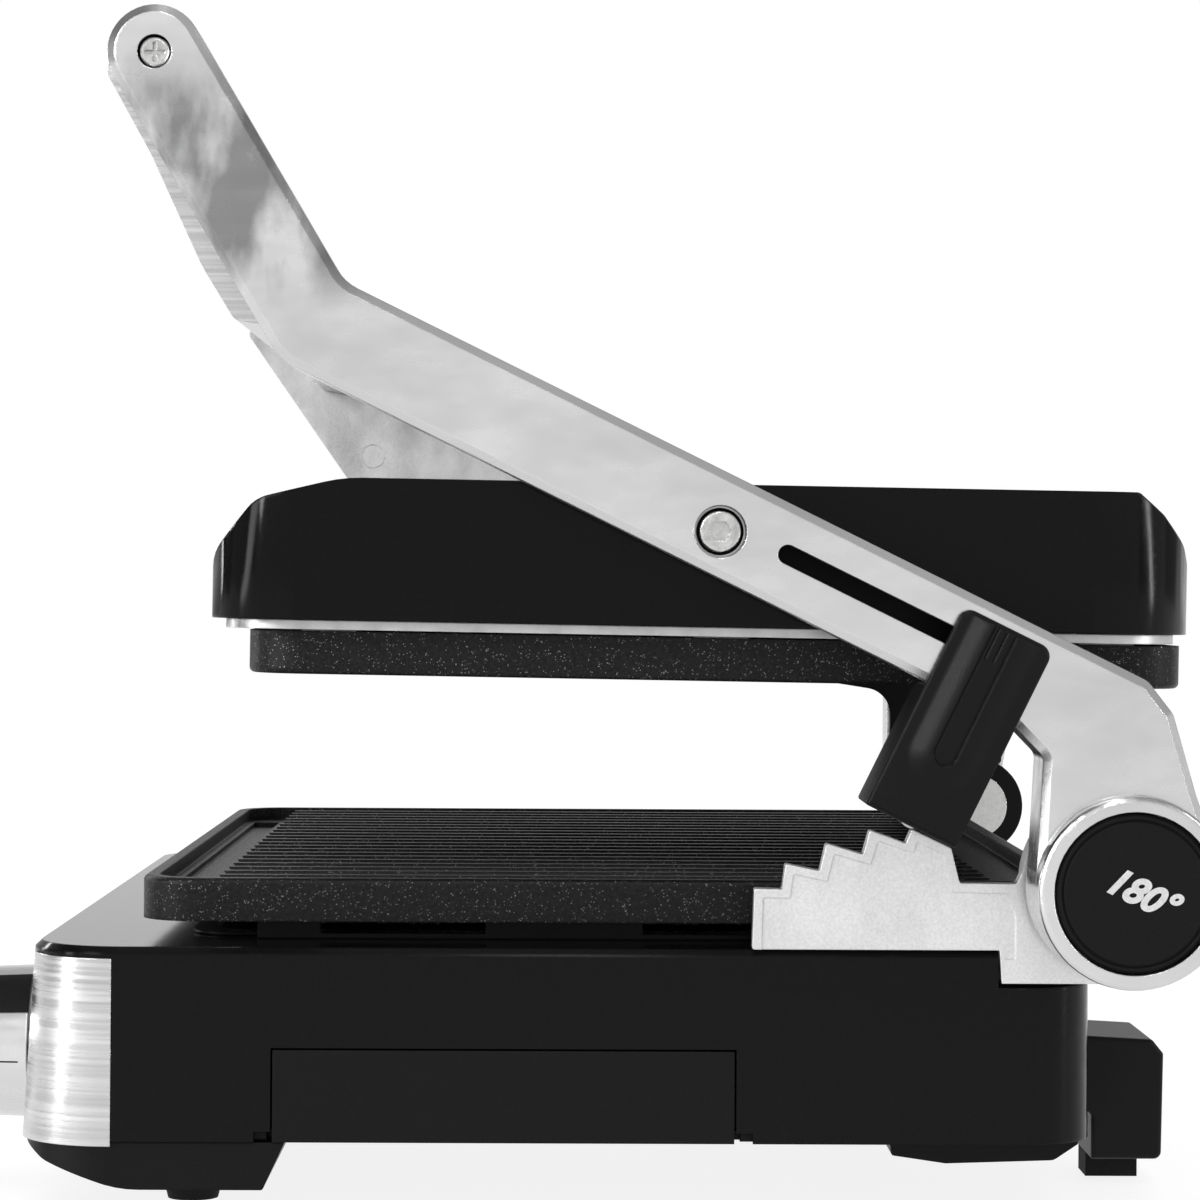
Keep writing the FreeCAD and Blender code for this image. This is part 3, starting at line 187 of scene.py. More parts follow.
def matt_cast_look(nodes):
    """Tumbled casting with a fine sandy grain and faint flow marks."""
    grain = nodes.noise(1500.0, 6.0)
    flow = nodes.noise(60.0, 4.0, (1.0, 1.0, 0.6))
    marks = nodes.ramp(flow, [(0.35, 0.62), (0.62, 0.76)])
    sand = nodes.ramp(grain, [(0.3, 0.5), (0.7, 0.86)])
    tone = nodes.blend(0.35, marks, sand)
    # the castings on the far side are painted darker in mottled patches, a painted shade for the
    # shadow they sit in
    parts = nodes.add("ShaderNodeSeparateXYZ", {"Vector": nodes.place((-1, 1, 1))})
    far = nodes.ramp(parts.outputs["X"], [(0.1625, 0.0), (0.1655, 1.0)])
    far_painted_shade = nodes.ramp(flow, [(0.35, 0.10), (0.62, 0.42)])
    tone = nodes.blend(nodes.math("MULTIPLY", far, 0.55), tone, far_painted_shade)
    return {
        "Base Color": tone,
        "Roughness": nodes.span(grain, 0.36, 0.50),
        "Normal": nodes.normal(grain, 4e-5, 5e-4),
    }


def brushed_look(nodes):
    """Stainless sheet brushed along its length: lines that change only with height."""
    lines = nodes.noise(900.0, 6.0, (0.012, 0.012, 1.0))
    bands = nodes.noise(70.0, 3.0, (0.03, 0.03, 1.0))
    broad = nodes.ramp(bands, [(0.3, 0.50), (0.7, 0.64)])
    fine = nodes.ramp(lines, [(0.32, 0.40), (0.68, 0.74)])
    return {
        "Base Color": nodes.blend(0.45, broad, fine),
        "Roughness": nodes.span(lines, 0.20, 0.34),
        "Normal": nodes.normal(lines, 1.6e-5, 4e-4),
    }


def gloss_black_look(nodes):
    """Moulded high-gloss black with the slightest orange peel and dust."""
    peel = nodes.noise(120.0, 2.0)
    dust = nodes.noise(900.0, 4.0)
    return {
        "Base Color": nodes.ramp(dust, [(0.55, 0.0045), (0.80, 0.0075)]),
        "Roughness": nodes.span(dust, 0.10, 0.14),
        "Normal": nodes.normal(peel, 1.5e-5, 9e-4),
    }


def satin_black_look(nodes):
    """Moulded satin black: a fine spark-eroded grain."""
    grain = nodes.noise(2600.0, 5.0)
    cloud = nodes.noise(18.0, 3.0)
    sparks = nodes.ramp(grain, [(0.35, 0.0050), (0.70, 0.0100)])
    patches = nodes.ramp(cloud, [(0.3, 0.0060), (0.7, 0.0085)])
    return {
        "Base Color": nodes.blend(0.5, sparks, patches),
        "Roughness": nodes.span(grain, 0.34, 0.46),
        "Normal": nodes.normal(grain, 2.2e-5, 7e-4),
    }


def nonstick_look(nodes):
    """Dark non-stick coating with bright mineral specks."""
    spot = nodes.place((1, 1, 1))
    cells = nodes.add("ShaderNodeTexVoronoi", {"Vector": spot, "Scale": 1500.0})
    speck = nodes.ramp(cells.outputs["Distance"], [(0.14, 1.0), (0.27, 0.0)])
    sparse = nodes.ramp(nodes.noise(620.0, 2.0), [(0.44, 0.0), (0.56, 1.0)])
    shine = nodes.math("MULTIPLY", speck, sparse)
    grain = nodes.noise(1300.0, 6.0)
    body = nodes.ramp(grain, [(0.35, 0.0045), (0.72, 0.016)])
    return {
        "Base Color": nodes.blend(shine, body, (0.24, 0.24, 0.24)),
        "Metallic": shine,
        "Roughness": nodes.span(grain, 0.34, 0.52),
        "Normal": nodes.normal(grain, 6e-5, 6e-4),
    }


def zinc_look(nodes):
    """Zinc-plated sheet with a faint spangle."""
    spangle = nodes.noise(160.0, 6.0)
    return {
        "Base Color": nodes.ramp(spangle, [(0.3, 0.42), (0.7, 0.60)]),
        "Roughness": nodes.span(spangle, 0.30, 0.44),
        "Normal": nodes.normal(spangle, 1e-5, 4e-4),
    }


def turned_look(nodes):
    """Turned steel with fine rings and a faint oil tint."""
    rings = nodes.noise(1500.0, 5.0, (1.0, 0.3, 0.3))
    return {
        "Base Color": nodes.ramp(rings, [(0.3, (0.46, 0.46, 0.455)), (0.7, (0.68, 0.68, 0.67))]),
        "Roughness": nodes.span(rings, 0.18, 0.32),
        "Normal": nodes.normal(rings, 1.5e-5, 3e-4),
    }


def rubber_look(nodes):
    """Dull black rubber."""
    grain = nodes.noise(1800.0, 6.0)
    return {
        "Base Color": nodes.ramp(grain, [(0.3, 0.006), (0.7, 0.014)]),
        "Roughness": nodes.span(grain, 0.62, 0.80),
        "Normal": nodes.normal(grain, 6e-5, 5e-4),
    }


SMOKE_DARK = (0.004, 0.004, 0.005)
SMOKE_PALE = (0.010, 0.011, 0.013)


def lens_look(nodes):
    """Smoked clear plastic over a display."""
    haze = nodes.noise(35.0, 3.0)
    return {
        "Base Color": nodes.ramp(haze, [(0.3, SMOKE_DARK), (0.7, SMOKE_PALE)]),
        "Roughness": nodes.span(haze, 0.04, 0.08),
        "Normal": nodes.normal(haze, 2e-6, 3e-4),
    }


def moulded_look(nodes):
    """Olive moulded plastic of the parts inside."""
    mottle = nodes.noise(240.0, 5.0)
    return {
        "Base Color": nodes.ramp(mottle, [(0.3, (0.05, 0.06, 0.045)), (0.7, (0.10, 0.115, 0.085))]),
        "Roughness": nodes.span(mottle, 0.45, 0.6),
        "Normal": nodes.normal(mottle, 2e-5, 3e-4),
    }


def print_look(nodes):
    """Pale tampo print with a slightly uneven coat."""
    coat = nodes.noise(1200.0, 4.0)
    return {
        "Base Color": nodes.ramp(coat, [(0.3, 0.70), (0.7, 0.86)]),
        "Roughness": nodes.span(coat, 0.42, 0.55),
    }


def recess_look(nodes):
    """Unlit black of a seam or groove."""
    # the painted shade is mottled a little
    unlit_mottle = nodes.noise(400.0, 3.0)
    return {
        "Base Color": nodes.ramp(unlit_mottle, [(0.3, 0.002), (0.7, 0.006)]),
        "Roughness": nodes.span(unlit_mottle, 0.7, 0.9),
    }


DARK = {"Specular_IOR_Level": 0.11}     # keeps the black mouldings from looking grey
MATERIALS = {
    "polished_casting": material("polished_casting", polished_look, Metallic=1.0),
    "matt_casting": material("matt_casting", matt_cast_look, Metallic=1.0),
    "brushed_stainless": material("brushed_stainless", brushed_look, Metallic=1.0, Anisotropic=0.5),
    "gloss_black": material("gloss_black", gloss_black_look, **DARK),
    "satin_black": material("satin_black", satin_black_look, **DARK),
    "nonstick_coat": material("nonstick_coat", nonstick_look, Specular_IOR_Level=0.16),
    "zinc_steel": material("zinc_steel", zinc_look, Metallic=1.0),
    "turned_steel": material("turned_steel", turned_look, Metallic=1.0),
    "rubber_foot": material("rubber_foot", rubber_look, **DARK),
    "lens": material("lens", lens_look, Specular_IOR_Level=0.4),
    "moulded_inside": material("moulded_inside", moulded_look, Specular_IOR_Level=0.3),
}
PRINT = material("print", print_look, Specular_IOR_Level=0.3)
RECESS = material("recess", recess_look, Specular_IOR_Level=0.05)


def dress_cad_nodes():
    """Each CAD mesh gets the material of its slot in the record."""
    for part in frame["record"]["subparts"]:
        mesh = frame["nodes"][part["node"]].data
        mesh.materials.clear()
        mesh.materials.append(MATERIALS[part["material_slot"]])


# ---------------------------------------------------------------- mesh helpers
def add_piece(name, mesh, body, look, smooth=True):
    """A finished piece in the row frame, riding on a CAD body."""
    piece = bpy.data.objects.new(name, mesh)
    bpy.context.scene.collection.objects.link(piece)
    mesh.materials.clear()
    mesh.materials.append(look)
    if smooth:
        mesh.polygons.foreach_set("use_smooth", [True] * len(mesh.polygons))
    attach(piece, body)
    return piece


def to_mesh(name, form):
    """The mesh of a bmesh form, which is used up, with its faces turned outwards."""
    bmesh.ops.recalc_face_normals(form, faces=form.faces)
    mesh = bpy.data.meshes.new(name)
    form.to_mesh(mesh)
    form.free()
    return mesh


def round_corners(corners, steps=8):
    """Closed outline with each (u, v, radius) corner rounded by an arc."""
    outline = []
    count = len(corners)
    for i, (u, v, radius) in enumerate(corners):
        here = Vector((u, v))
        if radius <= 0:
            outline.append(here)
            continue
        back = (Vector(corners[i - 1][:2]) - here).normalized()
        ahead = (Vector(corners[(i + 1) % count][:2]) - here).normalized()
        half = back.angle(ahead) / 2
        centre = here + (back + ahead).normalized() * radius / math.sin(half)
        start = here + back * radius / math.tan(half) - centre
        end = here + ahead * radius / math.tan(half) - centre
        sweep = start.angle_signed(end)
        for k in range(steps + 1):
            outline.append(centre + Matrix.Rotation(-sweep * k / steps, 2) @ start)
    return outline


RIM_STEPS = 4
LEAST_MITRE = 0.35             # keeps a sharp corner from running away when the outline shrinks


def prism(outline, low, high, place, edge):
    """Outline between two depths, its far rim rounded by edge; place maps (u, v, depth) to a point."""
    form = bmesh.new()
    rims = [(low, 0.0)]
    for k in range(RIM_STEPS + 1):
        turn = math.pi / 2 * k / RIM_STEPS
        rims.append((high - edge * (1 - math.sin(turn)), edge * (1 - math.cos(turn))))
    loops = []
    for depth, inset in rims:
        shrunk = inset_outline(outline, inset)
        loops.append([form.verts.new(place(p.x, p.y, depth)) for p in shrunk])
    for one, two in zip(loops, loops[1:]):
        for i in range(len(one)):
            j = (i + 1) % len(one)
            form.faces.new((one[i], one[j], two[j], two[i]))
    form.faces.new(loops[0])
    form.faces.new(loops[-1])
    return form


def inset_outline(outline, inset):
    """The outline moved inwards by inset."""
    if inset <= 0:
        return outline
    count = len(outline)
    pairs = [(outline[i - 1], outline[i]) for i in range(count)]
    area = sum(a.x * b.y - b.x * a.y for a, b in pairs)
    sign = 1 if area > 0 else -1
    moved = []
    for i in range(count):
        before = outline[i] - outline[i - 1]
        after = outline[(i + 1) % count] - outline[i]
        if before.length < 1e-9:
            before = after
        if after.length < 1e-9:
            after = before
        along = (before.normalized() + after.normalized()).normalized()
        square = Vector((-along.y, along.x)) * sign
        shrink = max(LEAST_MITRE, along.dot(after.normalized()))
        moved.append(outline[i] + square * inset / shrink)
    return moved


# ---------------------------------------------------------------- places on the arm
HINGE = Vector(JOINTS["lid_open"]["pos_m"])
RUN = Vector(JOINTS["height_slide"]["axis"])
SQUARE = Vector((0.0, RUN.z, -RUN.y))


def leg_spot(along, square, x):
    """A point given along and square to the arm's long leg, from the hinge line."""
    spot = HINGE + RUN * along + SQUARE * square
    return Vector((x, spot.y, spot.z))


def leg_extent(node):
    """Lowest and highest (along, square) of a CAD node."""
    spots = []
    for vertex in frame["nodes"][node].data.vertices:
        away = vertex.co - HINGE
        spots.append((away.dot(RUN), away.dot(SQUARE)))
    lows = [min(s[k] for s in spots) for k in (0, 1)]
    highs = [max(s[k] for s in spots) for k in (0, 1)]
    return lows, highs


# ---------------------------------------------------------------- height slider
CROWN_RISE = 3.1 * MM
CROWN_MARGIN = 2.4 * MM
CROWN_LOW = 9.0 * MM             # lower end of the crown, above the slider's lower end
INSET_W = 5.6 * MM
INSET_LOW = 16.5 * MM
INSET_SHIFT = 0.6 * MM
INSET_RIM = 0.45 * MM            # half width of the step round the inset
INSET_DEPTH_SHARE = 0.72         # the inset's floor, as a share of the crown's rise
GROOVE = 0.28 * MM               # half width and depth of the line round the inset
SLIT_DROP = 9.5 * MM             # the two top slits start this far below the slider's upper end
SLIT_PLACES = (0.2 * MM, 2.4 * MM)
SLIT_HALF_W = 0.24 * MM
SLIT_DEPTH = 0.5 * MM
SLAB_CORNER = 3.2 * MM
SLAB_EDGE = 0.9 * MM
SMALL_CORNER = 0.8 * MM
LEG_TOP = 32.6 * MM              # above the slider's lower end
LEG_REAR = 3.5 * MM
SCREW_DEPTH = 1.2 * MM           # the handle screw's head lies this far under the arm's face
SLAB_PLAY = 0.4 * MM
CROWN_COLUMNS = 132
CROWN_ROWS = 200
CROWN_SIDE = 1.0 * MM
CROWN_END = 1.6 * MM             # the crown dies away over this length at the top


def crown_height(across, up, width, length):
    """How far the crown of the slider stands out at one place."""
    half = width / 2 - CROWN_MARGIN
    middle = width / 2
    start = CROWN_LOW + half
    side = abs(across - middle)
    reach = side if up > start else math.hypot(side, start - up)
    if reach >= half:
        return 0.0
    t = reach / half
    dome = (1 - t * t) ** 2 * (1 + 1.4 * t * t)
    rise = CROWN_RISE * min(1.0, dome)
    inner = INSET_W / 2
    panel_start = INSET_LOW + inner
    off = abs(across - middle - INSET_SHIFT)
    edge = (off if up > panel_start else math.hypot(off, panel_start - up)) - inner
    if edge < INSET_RIM:
        sunk = INSET_DEPTH_SHARE * CROWN_RISE
        groove = GROOVE if abs(edge) < GROOVE else 0.0
        rise = min(rise, sunk if edge < 0 else rise) - groove
    if up > length - SLIT_DROP:
        for place in SLIT_PLACES:
            if abs(across - middle - place) < SLIT_HALF_W:
                rise -= SLIT_DEPTH
    return rise


def crown_mesh(a0, n0, width, length, face):
    """The crown on the slab's face, as a fine grid that is left out where nothing is raised."""
    crown = bmesh.new()
    grid = []
    for i in range(CROWN_COLUMNS + 1):
        line = []
        across = CROWN_SIDE + (width - 2 * CROWN_SIDE) * i / CROWN_COLUMNS
        for k in range(CROWN_ROWS + 1):
            up = CROWN_LOW - 1 * MM + (length - CROWN_LOW - 0.1 * MM) * k / CROWN_ROWS
            rise = crown_height(across, up, width, length)
            near_end = max(0.0, up - (length - CROWN_END)) / CROWN_END
            rise *= math.sqrt(max(0.0, 1 - near_end ** 2))
            depth = face + max(rise, -0.3 * MM) - 0.02 * MM
            line.append(crown.verts.new(leg_spot(a0 + across, n0 + up, depth)))
        grid.append(line)
    for i in range(CROWN_COLUMNS):
        for k in range(CROWN_ROWS):
            corners = (grid[i][k], grid[i + 1][k], grid[i + 1][k + 1], grid[i][k + 1])
            raised = max(v.co.x for v in corners)
            if raised > face - 0.015 * MM:
                crown.faces.new(corners)
    loose = [v for v in crown.verts if not v.link_faces]
    bmesh.ops.delete(crown, geom=loose, context="VERTS")
    return to_mesh("slider_crown", crown)


def add_slider_piece(name, mesh):
    """A satin black piece that rides with the height slider."""
    return add_piece(name, mesh, "height_control", MATERIALS["satin_black"])


def make_slider():
    """The sliding height stop: a slab on the arm's face, a leg that reaches in to the rack."""
    (a0, n0), (a1, n1) = leg_extent("height_slider")
    low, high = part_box("height_slider")
    face = high.x - CROWN_RISE
    slab_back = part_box("handle_screw_right")[1].x + SCREW_DEPTH + SLAB_PLAY
    outline = round_corners([
        (a0, n0, SMALL_CORNER),
        (a1, n0, SMALL_CORNER),
        (a1, n1, SLAB_CORNER),
        (a0, n1, SLAB_CORNER),
    ])
    slab = prism(outline, slab_back, face, leg_spot, SLAB_EDGE)
    piece = add_slider_piece("slider_slab", to_mesh("slider_slab", slab))
    shade_by_angle(piece)
    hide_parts("height_slider")
    leg_top = n0 + LEG_TOP
    rear = a0 + LEG_REAR
    leg_outline = round_corners([
        (rear, n0, SMALL_CORNER),
        (a1, n0, SMALL_CORNER),
        (a1, leg_top, 0.6 * MM),
        (rear, leg_top, 0.6 * MM),
    ])
    leg = prism(leg_outline, low.x, slab_back + 0.2 * MM, leg_spot, 0.3 * MM)
    piece = add_slider_piece("slider_leg", to_mesh("slider_leg", leg))
    shade_by_angle(piece)
    add_slider_piece("slider_crown", crown_mesh(a0, n0, a1 - a0, n1 - n0, face))


def shade_by_angle(piece, degrees=32.0):
    """Smooth faces that meet at a small angle, and leave the other edges crisp."""
    mesh = piece.data
    form = bmesh.new()
    form.from_mesh(mesh)
    limit = math.radians(degrees)
    for edge in form.edges:
        faces = edge.link_faces
        edge.smooth = len(faces) == 2 and faces[0].normal.angle(faces[1].normal, 0.0) < limit
    form.to_mesh(mesh)
    form.free()


# ---------------------------------------------------------------- hinge button
LETTER_H = 6.8 * MM
FONT_PER_HEIGHT = 1.36         # font size over the height of its digits
LETTER_SLANT = 0.32
LETTER_FATTENING = 0.00034
LETTER_TURN = -26.0            # degrees
LETTER_RISE = 0.22 * MM
LETTER_SHIFT = 0.9 * MM        # the print sits a little behind the hinge line


def make_letters():
    """The turning angle printed on the release button, in raised white letters."""
    low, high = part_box("hinge_button_right")
    centre = (low + high) / 2
    curve = bpy.data.curves.new("letters", "FONT")
    curve.body = "180°"
    curve.size = LETTER_H * FONT_PER_HEIGHT
    curve.shear = LETTER_SLANT
    curve.offset = LETTER_FATTENING
    curve.extrude = LETTER_RISE / 2
    curve.align_x = "CENTER"
    curve.align_y = "CENTER"
    curve.resolution_u = 6
    text = bpy.data.objects.new("letters_source", curve)
    bpy.context.scene.collection.objects.link(text)
    bpy.context.view_layer.update()
    mesh = bpy.data.meshes.new_from_object(text)
    bpy.data.objects.remove(text)
    upright = Matrix.Rotation(math.radians(90), 4, "X")
    facing = Matrix.Rotation(math.radians(90), 4, "Z")
    turn = Matrix.Rotation(math.radians(LETTER_TURN), 4, "Z")
    ahead = Matrix.Translation((0.0, LETTER_SHIFT, 0.0))
    spot = Matrix.Translation((high.x + 0.02 * MM, centre.y, centre.z))
    mesh.transform(spot @ ahead @ facing @ upright @ turn)
    add_piece("angle_mark_right", mesh, "release_right", PRINT, smooth=False)


# ---------------------------------------------------------------- knob and dial
def ring_mesh(name, centre, radius, tube, axis, around=96, section=10):
    """A torus built ring by ring."""
    form = bmesh.new()
    along = Vector(axis).normalized()
    u = along.orthogonal().normalized()
    v = along.cross(u)
    rings = []
    for i in range(around):
        t = 2 * math.pi * i / around
        out = u * math.cos(t) + v * math.sin(t)
        ring = []
        for k in range(section):
            s = 2 * math.pi * k / section
            spot = centre + out * (radius + tube * math.cos(s)) + along * tube * math.sin(s)
            ring.append(form.verts.new(spot))
        rings.append(ring)
    for i in range(around):
        one = rings[i]
        two = rings[(i + 1) % around]
        for k in range(section):
            j = (k + 1) % section
            form.faces.new((one[k], one[j], two[j], two[k]))
    return to_mesh(name, form)


KNOB_RINGS = (0.82, 0.42)       # shares of the knob's radius
POINTER_HALF_W = 0.7 * MM
POINTER_ENDS = (0.46, 0.78)
KNOB_TAPER = 0.9 * MM
LINE_TILT = math.radians(-9.5)
LINE_HALF_ANGLE = 0.010
DIAL_MARKS = 11
DIAL_START = -225
DIAL_STEP = 27
DIAL_HALF_W = 0.25


def make_knob_details():
    """Two turned rings and a pointer on the knob's face, and a fine line down its side."""
    low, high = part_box("knob")
    centre = (low + high) / 2
    radius = (high.x - low.x) / 2
    groove_spot = Vector((centre.x, low.y + 0.2 * MM, centre.z))
    for k, share in enumerate(KNOB_RINGS):
        mesh = ring_mesh("knob_ring", groove_spot, radius * share, 0.16 * MM, (0, 1, 0))
        add_piece(f"knob_ring_{k + 1}", mesh, "front_control", RECESS)
    start, end = [centre.z + radius * share for share in POINTER_ENDS]
    pointer_line = round_corners([
        (centre.x - POINTER_HALF_W, start, 0.6 * MM),
        (centre.x + POINTER_HALF_W, start, 0.6 * MM),
        (centre.x + POINTER_HALF_W, end, 0.6 * MM),
        (centre.x - POINTER_HALF_W, end, 0.6 * MM),
    ])
    depths = (low.y + 0.01 * MM, low.y + 0.5 * MM)
    mark = prism(pointer_line, *depths, lambda u, v, d: Vector((u, d, v)), 0.05 * MM)
    satin = MATERIALS["satin_black"]
    add_piece("knob_pointer", to_mesh("pointer", mark), "front_control", satin)
    line = bmesh.new()
    strip = []
    for y in (low.y + 1.8 * MM, high.y - 2.2 * MM):
        share = (y - low.y) / (high.y - low.y)
        r = radius - KNOB_TAPER * (1 - share) + 0.03 * MM
        for shift in (-LINE_HALF_ANGLE, LINE_HALF_ANGLE):
            turn = LINE_TILT + shift
            spot = (centre.x + r * math.cos(turn), y, centre.z + r * math.sin(turn))
            strip.append(line.verts.new(spot))
    line.faces.new((strip[0], strip[1], strip[3], strip[2]))
    add_piece("knob_line", to_mesh("line", line), "front_control", RECESS)


def make_dial_marks():
    """A ring of short dark marks on the panel round the knob, every fifth one longer."""
    low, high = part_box("knob")
    centre = (low + high) / 2
    radius = (high.x - low.x) / 2
    panel = frame["nodes"]["front_panel"]
    marks = bmesh.new()
    for i in range(DIAL_MARKS):
        turn = math.radians(DIAL_START + DIAL_STEP * i)
        reach = (1.0 + (2.4 if i % 5 else 3.4)) * MM
        square = Vector((-math.sin(turn), math.cos(turn)))
        out = Vector((math.cos(turn), math.sin(turn)))
        corners = []
        for r, w in ((1.4, -DIAL_HALF_W), (1.4, DIAL_HALF_W)):
            corners.append(out * (radius + r * MM) + square * w * MM)
        for w in (DIAL_HALF_W, -DIAL_HALF_W):
            corners.append(out * (radius + 0.4 * MM + reach) + square * w * MM)
        verts = []
        for c in corners:
            start = Vector((centre.x + c.x, low.y, centre.z + c.y))
            hit, spot, _, _ = panel.ray_cast(start, Vector((0.0, 1.0, 0.0)))
            if hit:
                verts.append(marks.verts.new(spot - Vector((0.0, 0.03 * MM, 0.0))))
        if len(verts) == 4:
            marks.faces.new(verts)
    add_piece("dial_marks", to_mesh("dial_marks", marks), "base", RECESS, smooth=False)


# ---------------------------------------------------------------- small details
def disc_ring(name, centre, inner, outer, body, look, thick=0.12 * MM, around=72):
    """A flat washer facing +X or -X, standing thick proud of centre."""
    form = bmesh.new()
    side = 1 if centre.x > 0 else -1
    loops = []
    for radius, rise in ((outer, 0.0), (outer, thick), (inner, thick), (inner, 0.0)):
        loop = []
        for i in range(around):
            t = 2 * math.pi * i / around
            y = centre.y + radius * math.cos(t)
            z = centre.z + radius * math.sin(t)
            loop.append(form.verts.new((centre.x + side * rise, y, z)))
        loops.append(loop)
    for one, two in zip(loops, loops[1:] + loops[:1]):
        for i in range(around):
            j = (i + 1) % around
            form.faces.new((one[i], one[j], two[j], two[i]))
    return add_piece(name, to_mesh(name, form), body, look, smooth=False)


# CAD node, painted shade ring piece, depth under the head, inner and outer gap round the head
RECESS_SHADE_RINGS = (
    ("pivot_bolt_", "bolt_shade_ring_", 2.6 * MM, 0.05 * MM, 0.75 * MM),
    ("handle_screw_", "screw_shade_", 1.6 * MM, 0.03 * MM, 0.5 * MM),
)


def make_recess_shades():
    """Dark rings of painted shade at the foot of the bolt and handle screw recesses."""
    for ending in ("right", "left"):
        for node, name, depth, inner, outer in RECESS_SHADE_RINGS:
            low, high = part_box(node + ending)
            side = 1 if high.x > 0 else -1
            outer_end = high.x if side > 0 else low.x
            centre = (low + high) / 2
            head_r = (high.z - low.z) / 2
            spot = Vector((outer_end - side * depth, centre.y, centre.z))
            disc_ring(name + ending, spot, head_r + inner, head_r + outer, "lid_arms", RECESS)


WEB_MARK = Vector((-65.3 * MM, 199.8 * MM))
WEB_MARK_R = (3.7 * MM, 4.1 * MM)
WEB_MARK_DEPTH = 1.38 * MM
LID_ROUND = 1.8 * MM


def make_web_mark():
    """The ring an ejector pin left on the inner face of the elbow plate."""
    low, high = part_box("elbow_web_left")
    spot = Vector((high.x - WEB_MARK_DEPTH, WEB_MARK.x, WEB_MARK.y))
    look = MATERIALS["matt_casting"]
    disc_ring("web_mark", spot, *WEB_MARK_R, "lid_arms", look, thick=0.15 * MM)


def round_lid_rim():
    """The lid's moulded rim is rounded: weld the mesh and bevel its sharp edges."""
    shell = frame["nodes"]["upper_shell"]
    weld = shell.modifiers.new("weld", "WELD")
    weld.merge_threshold = 0.01 * MM
    bevel = shell.modifiers.new("round", "BEVEL")
    bevel.width = LID_ROUND
    bevel.segments = 5
    bevel.limit_method = "ANGLE"
    bevel.angle_limit = math.radians(50)
    bevel.use_clamp_overlap = True
    bevel.harden_normals = True


# ---------------------------------------------------------------- stage
FLOOR_GLOW = 0.86              # the floor is a light table, so the shadow on it stays faint
FLOOR_R = 2.6
FLOOR_SIDES = 64


def make_floor():
    """A plain pale disc under the press."""
    form = bmesh.new()
    rim = []
    for i in range(FLOOR_SIDES):
        t = 2 * math.pi * i / FLOOR_SIDES
        rim.append(form.verts.new((FLOOR_R * math.cos(t), FLOOR_R * math.sin(t), 0.0)))
    form.faces.new(rim)
    floor = bpy.data.objects.new("floor", to_mesh("floor", form))
    bpy.context.scene.collection.objects.link(floor)

    def look(nodes):
        grain = nodes.noise(9.0, 4.0)
        return {"Base Color": nodes.ramp(grain, [(0.3, 0.15), (0.7, 0.17)])}

    lit = {"Emission_Color": (1.0, 1.0, 1.0, 1.0), "Emission_Strength": FLOOR_GLOW}
    pale = material("floor", look, Roughness=0.55, Specular_IOR_Level=0.05, **lit)
    floor.data.materials.append(pale)


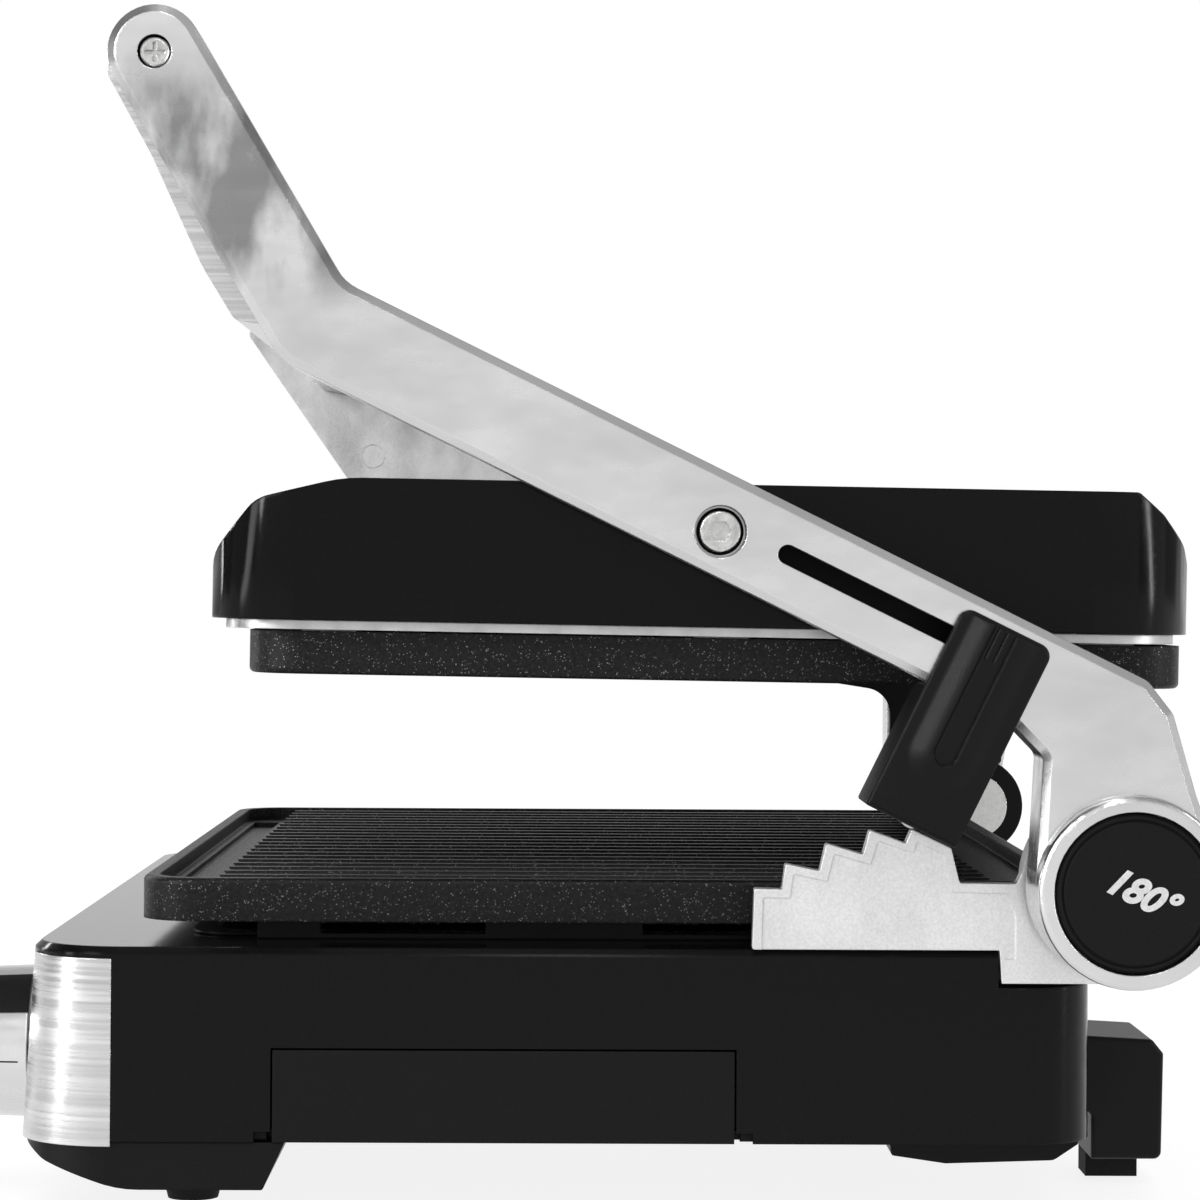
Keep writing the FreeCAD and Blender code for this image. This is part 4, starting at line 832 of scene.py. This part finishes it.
def make_world():
    """A white room: bright to the sides and low down, with dimmer bands between."""
    world = bpy.data.worlds.new("world")
    bpy.context.scene.world = world
    world.use_nodes = True
    nodes = Nodes(world.node_tree)
    spot = nodes.add("ShaderNodeTexCoord")
    parts = nodes.add("ShaderNodeSeparateXYZ", {"Vector": spot.outputs["Generated"]})
    sideways = nodes.math("ABSOLUTE", parts.outputs["X"])
    walls = [(0.0, 0.90), (0.14, 0.90), (0.22, 0.34), (0.47, 0.34), (0.53, 0.98), (1.0, 0.98)]
    heights = [(0.0, 0.9), (0.30, 1.0), (0.50, 0.55), (0.74, 0.62), (1.0, 0.66)]
    round_tone = nodes.ramp(sideways, walls)
    height_tone = nodes.ramp(parts.outputs["Z"], heights)
    tone = nodes.blend(1.0, round_tone, height_tone, "MULTIPLY")
    # the front of the room is dim away from the camera, so the panel's flat part mirrors a darker tone
    across = nodes.math("MULTIPLY_ADD", parts.outputs["X"], 0.5, 0.5)
    along = nodes.math("MULTIPLY_ADD", parts.outputs["Y"], 0.5, 0.5)
    far = nodes.ramp(across, [(0.735, 1.0), (0.75, 0.0)])
    front = nodes.ramp(along, [(0.36, 1.0), (0.42, 0.0)])
    dim = nodes.math("MULTIPLY", nodes.math("MULTIPLY", far, front), 0.45)
    tone = nodes.blend(dim, tone, (0.0, 0.0, 0.0))
    path = nodes.add("ShaderNodeLightPath")
    shown = nodes.blend(path.outputs["Is Camera Ray"], tone, (1.0, 1.0, 1.0))
    sky = nodes.add("ShaderNodeBackground", {"Color": shown, "Strength": 1.0})
    output = nodes.add("ShaderNodeOutputWorld")
    world.node_tree.links.new(sky.outputs[0], output.inputs["Surface"])


def soft_box(name, spot, aim, width, height, power, lights_matt=True, mirrored=True):
    """An area light, that may light only glossy or only matt surfaces."""
    data = bpy.data.lights.new(name, "AREA")
    data.shape = "RECTANGLE"
    data.size = width
    data.size_y = height
    data.energy = power
    lamp = bpy.data.objects.new(name, data)
    bpy.context.scene.collection.objects.link(lamp)
    lamp.location = spot
    lamp.rotation_euler = (Vector(aim) - Vector(spot)).to_track_quat("-Z", "Z").to_euler()
    lamp.visible_camera = False
    lamp.visible_diffuse = lights_matt
    lamp.visible_glossy = mirrored


def make_lights():
    middle = (0.0, 0.0, 0.12)
    soft_box("overhead", (0.1, -0.1, 1.7), middle, 1.8, 1.8, 26.0, mirrored=False)
    soft_box("front_strip", (0.80, -1.27, 0.55), middle, 0.22, 1.5, 9.0, False)
    soft_box("crown_strip", (1.08, -1.02, 0.62), middle, 0.16, 0.7, 11.0, False)
    soft_box("rear_strip", (0.62, 1.30, 0.55), middle, 0.05, 1.3, 6.0, False)
    soft_box("far_strip", (-0.9, -1.1, 0.6), middle, 0.08, 1.3, 6.0, False)
    soft_box("high_strip", (0.9, 0.0, 1.25), middle, 1.6, 0.10, 5.0, False)


# ---------------------------------------------------------------- build
make_camera()
make_world()
make_lights()
make_floor()
dress_cad_nodes()
make_slider()
make_letters()
make_knob_details()
make_dial_marks()
make_recess_shades()
make_web_mark()
round_lid_rim()

view = bpy.context.scene.view_settings
view.view_transform = "Standard"
view.look = "None"
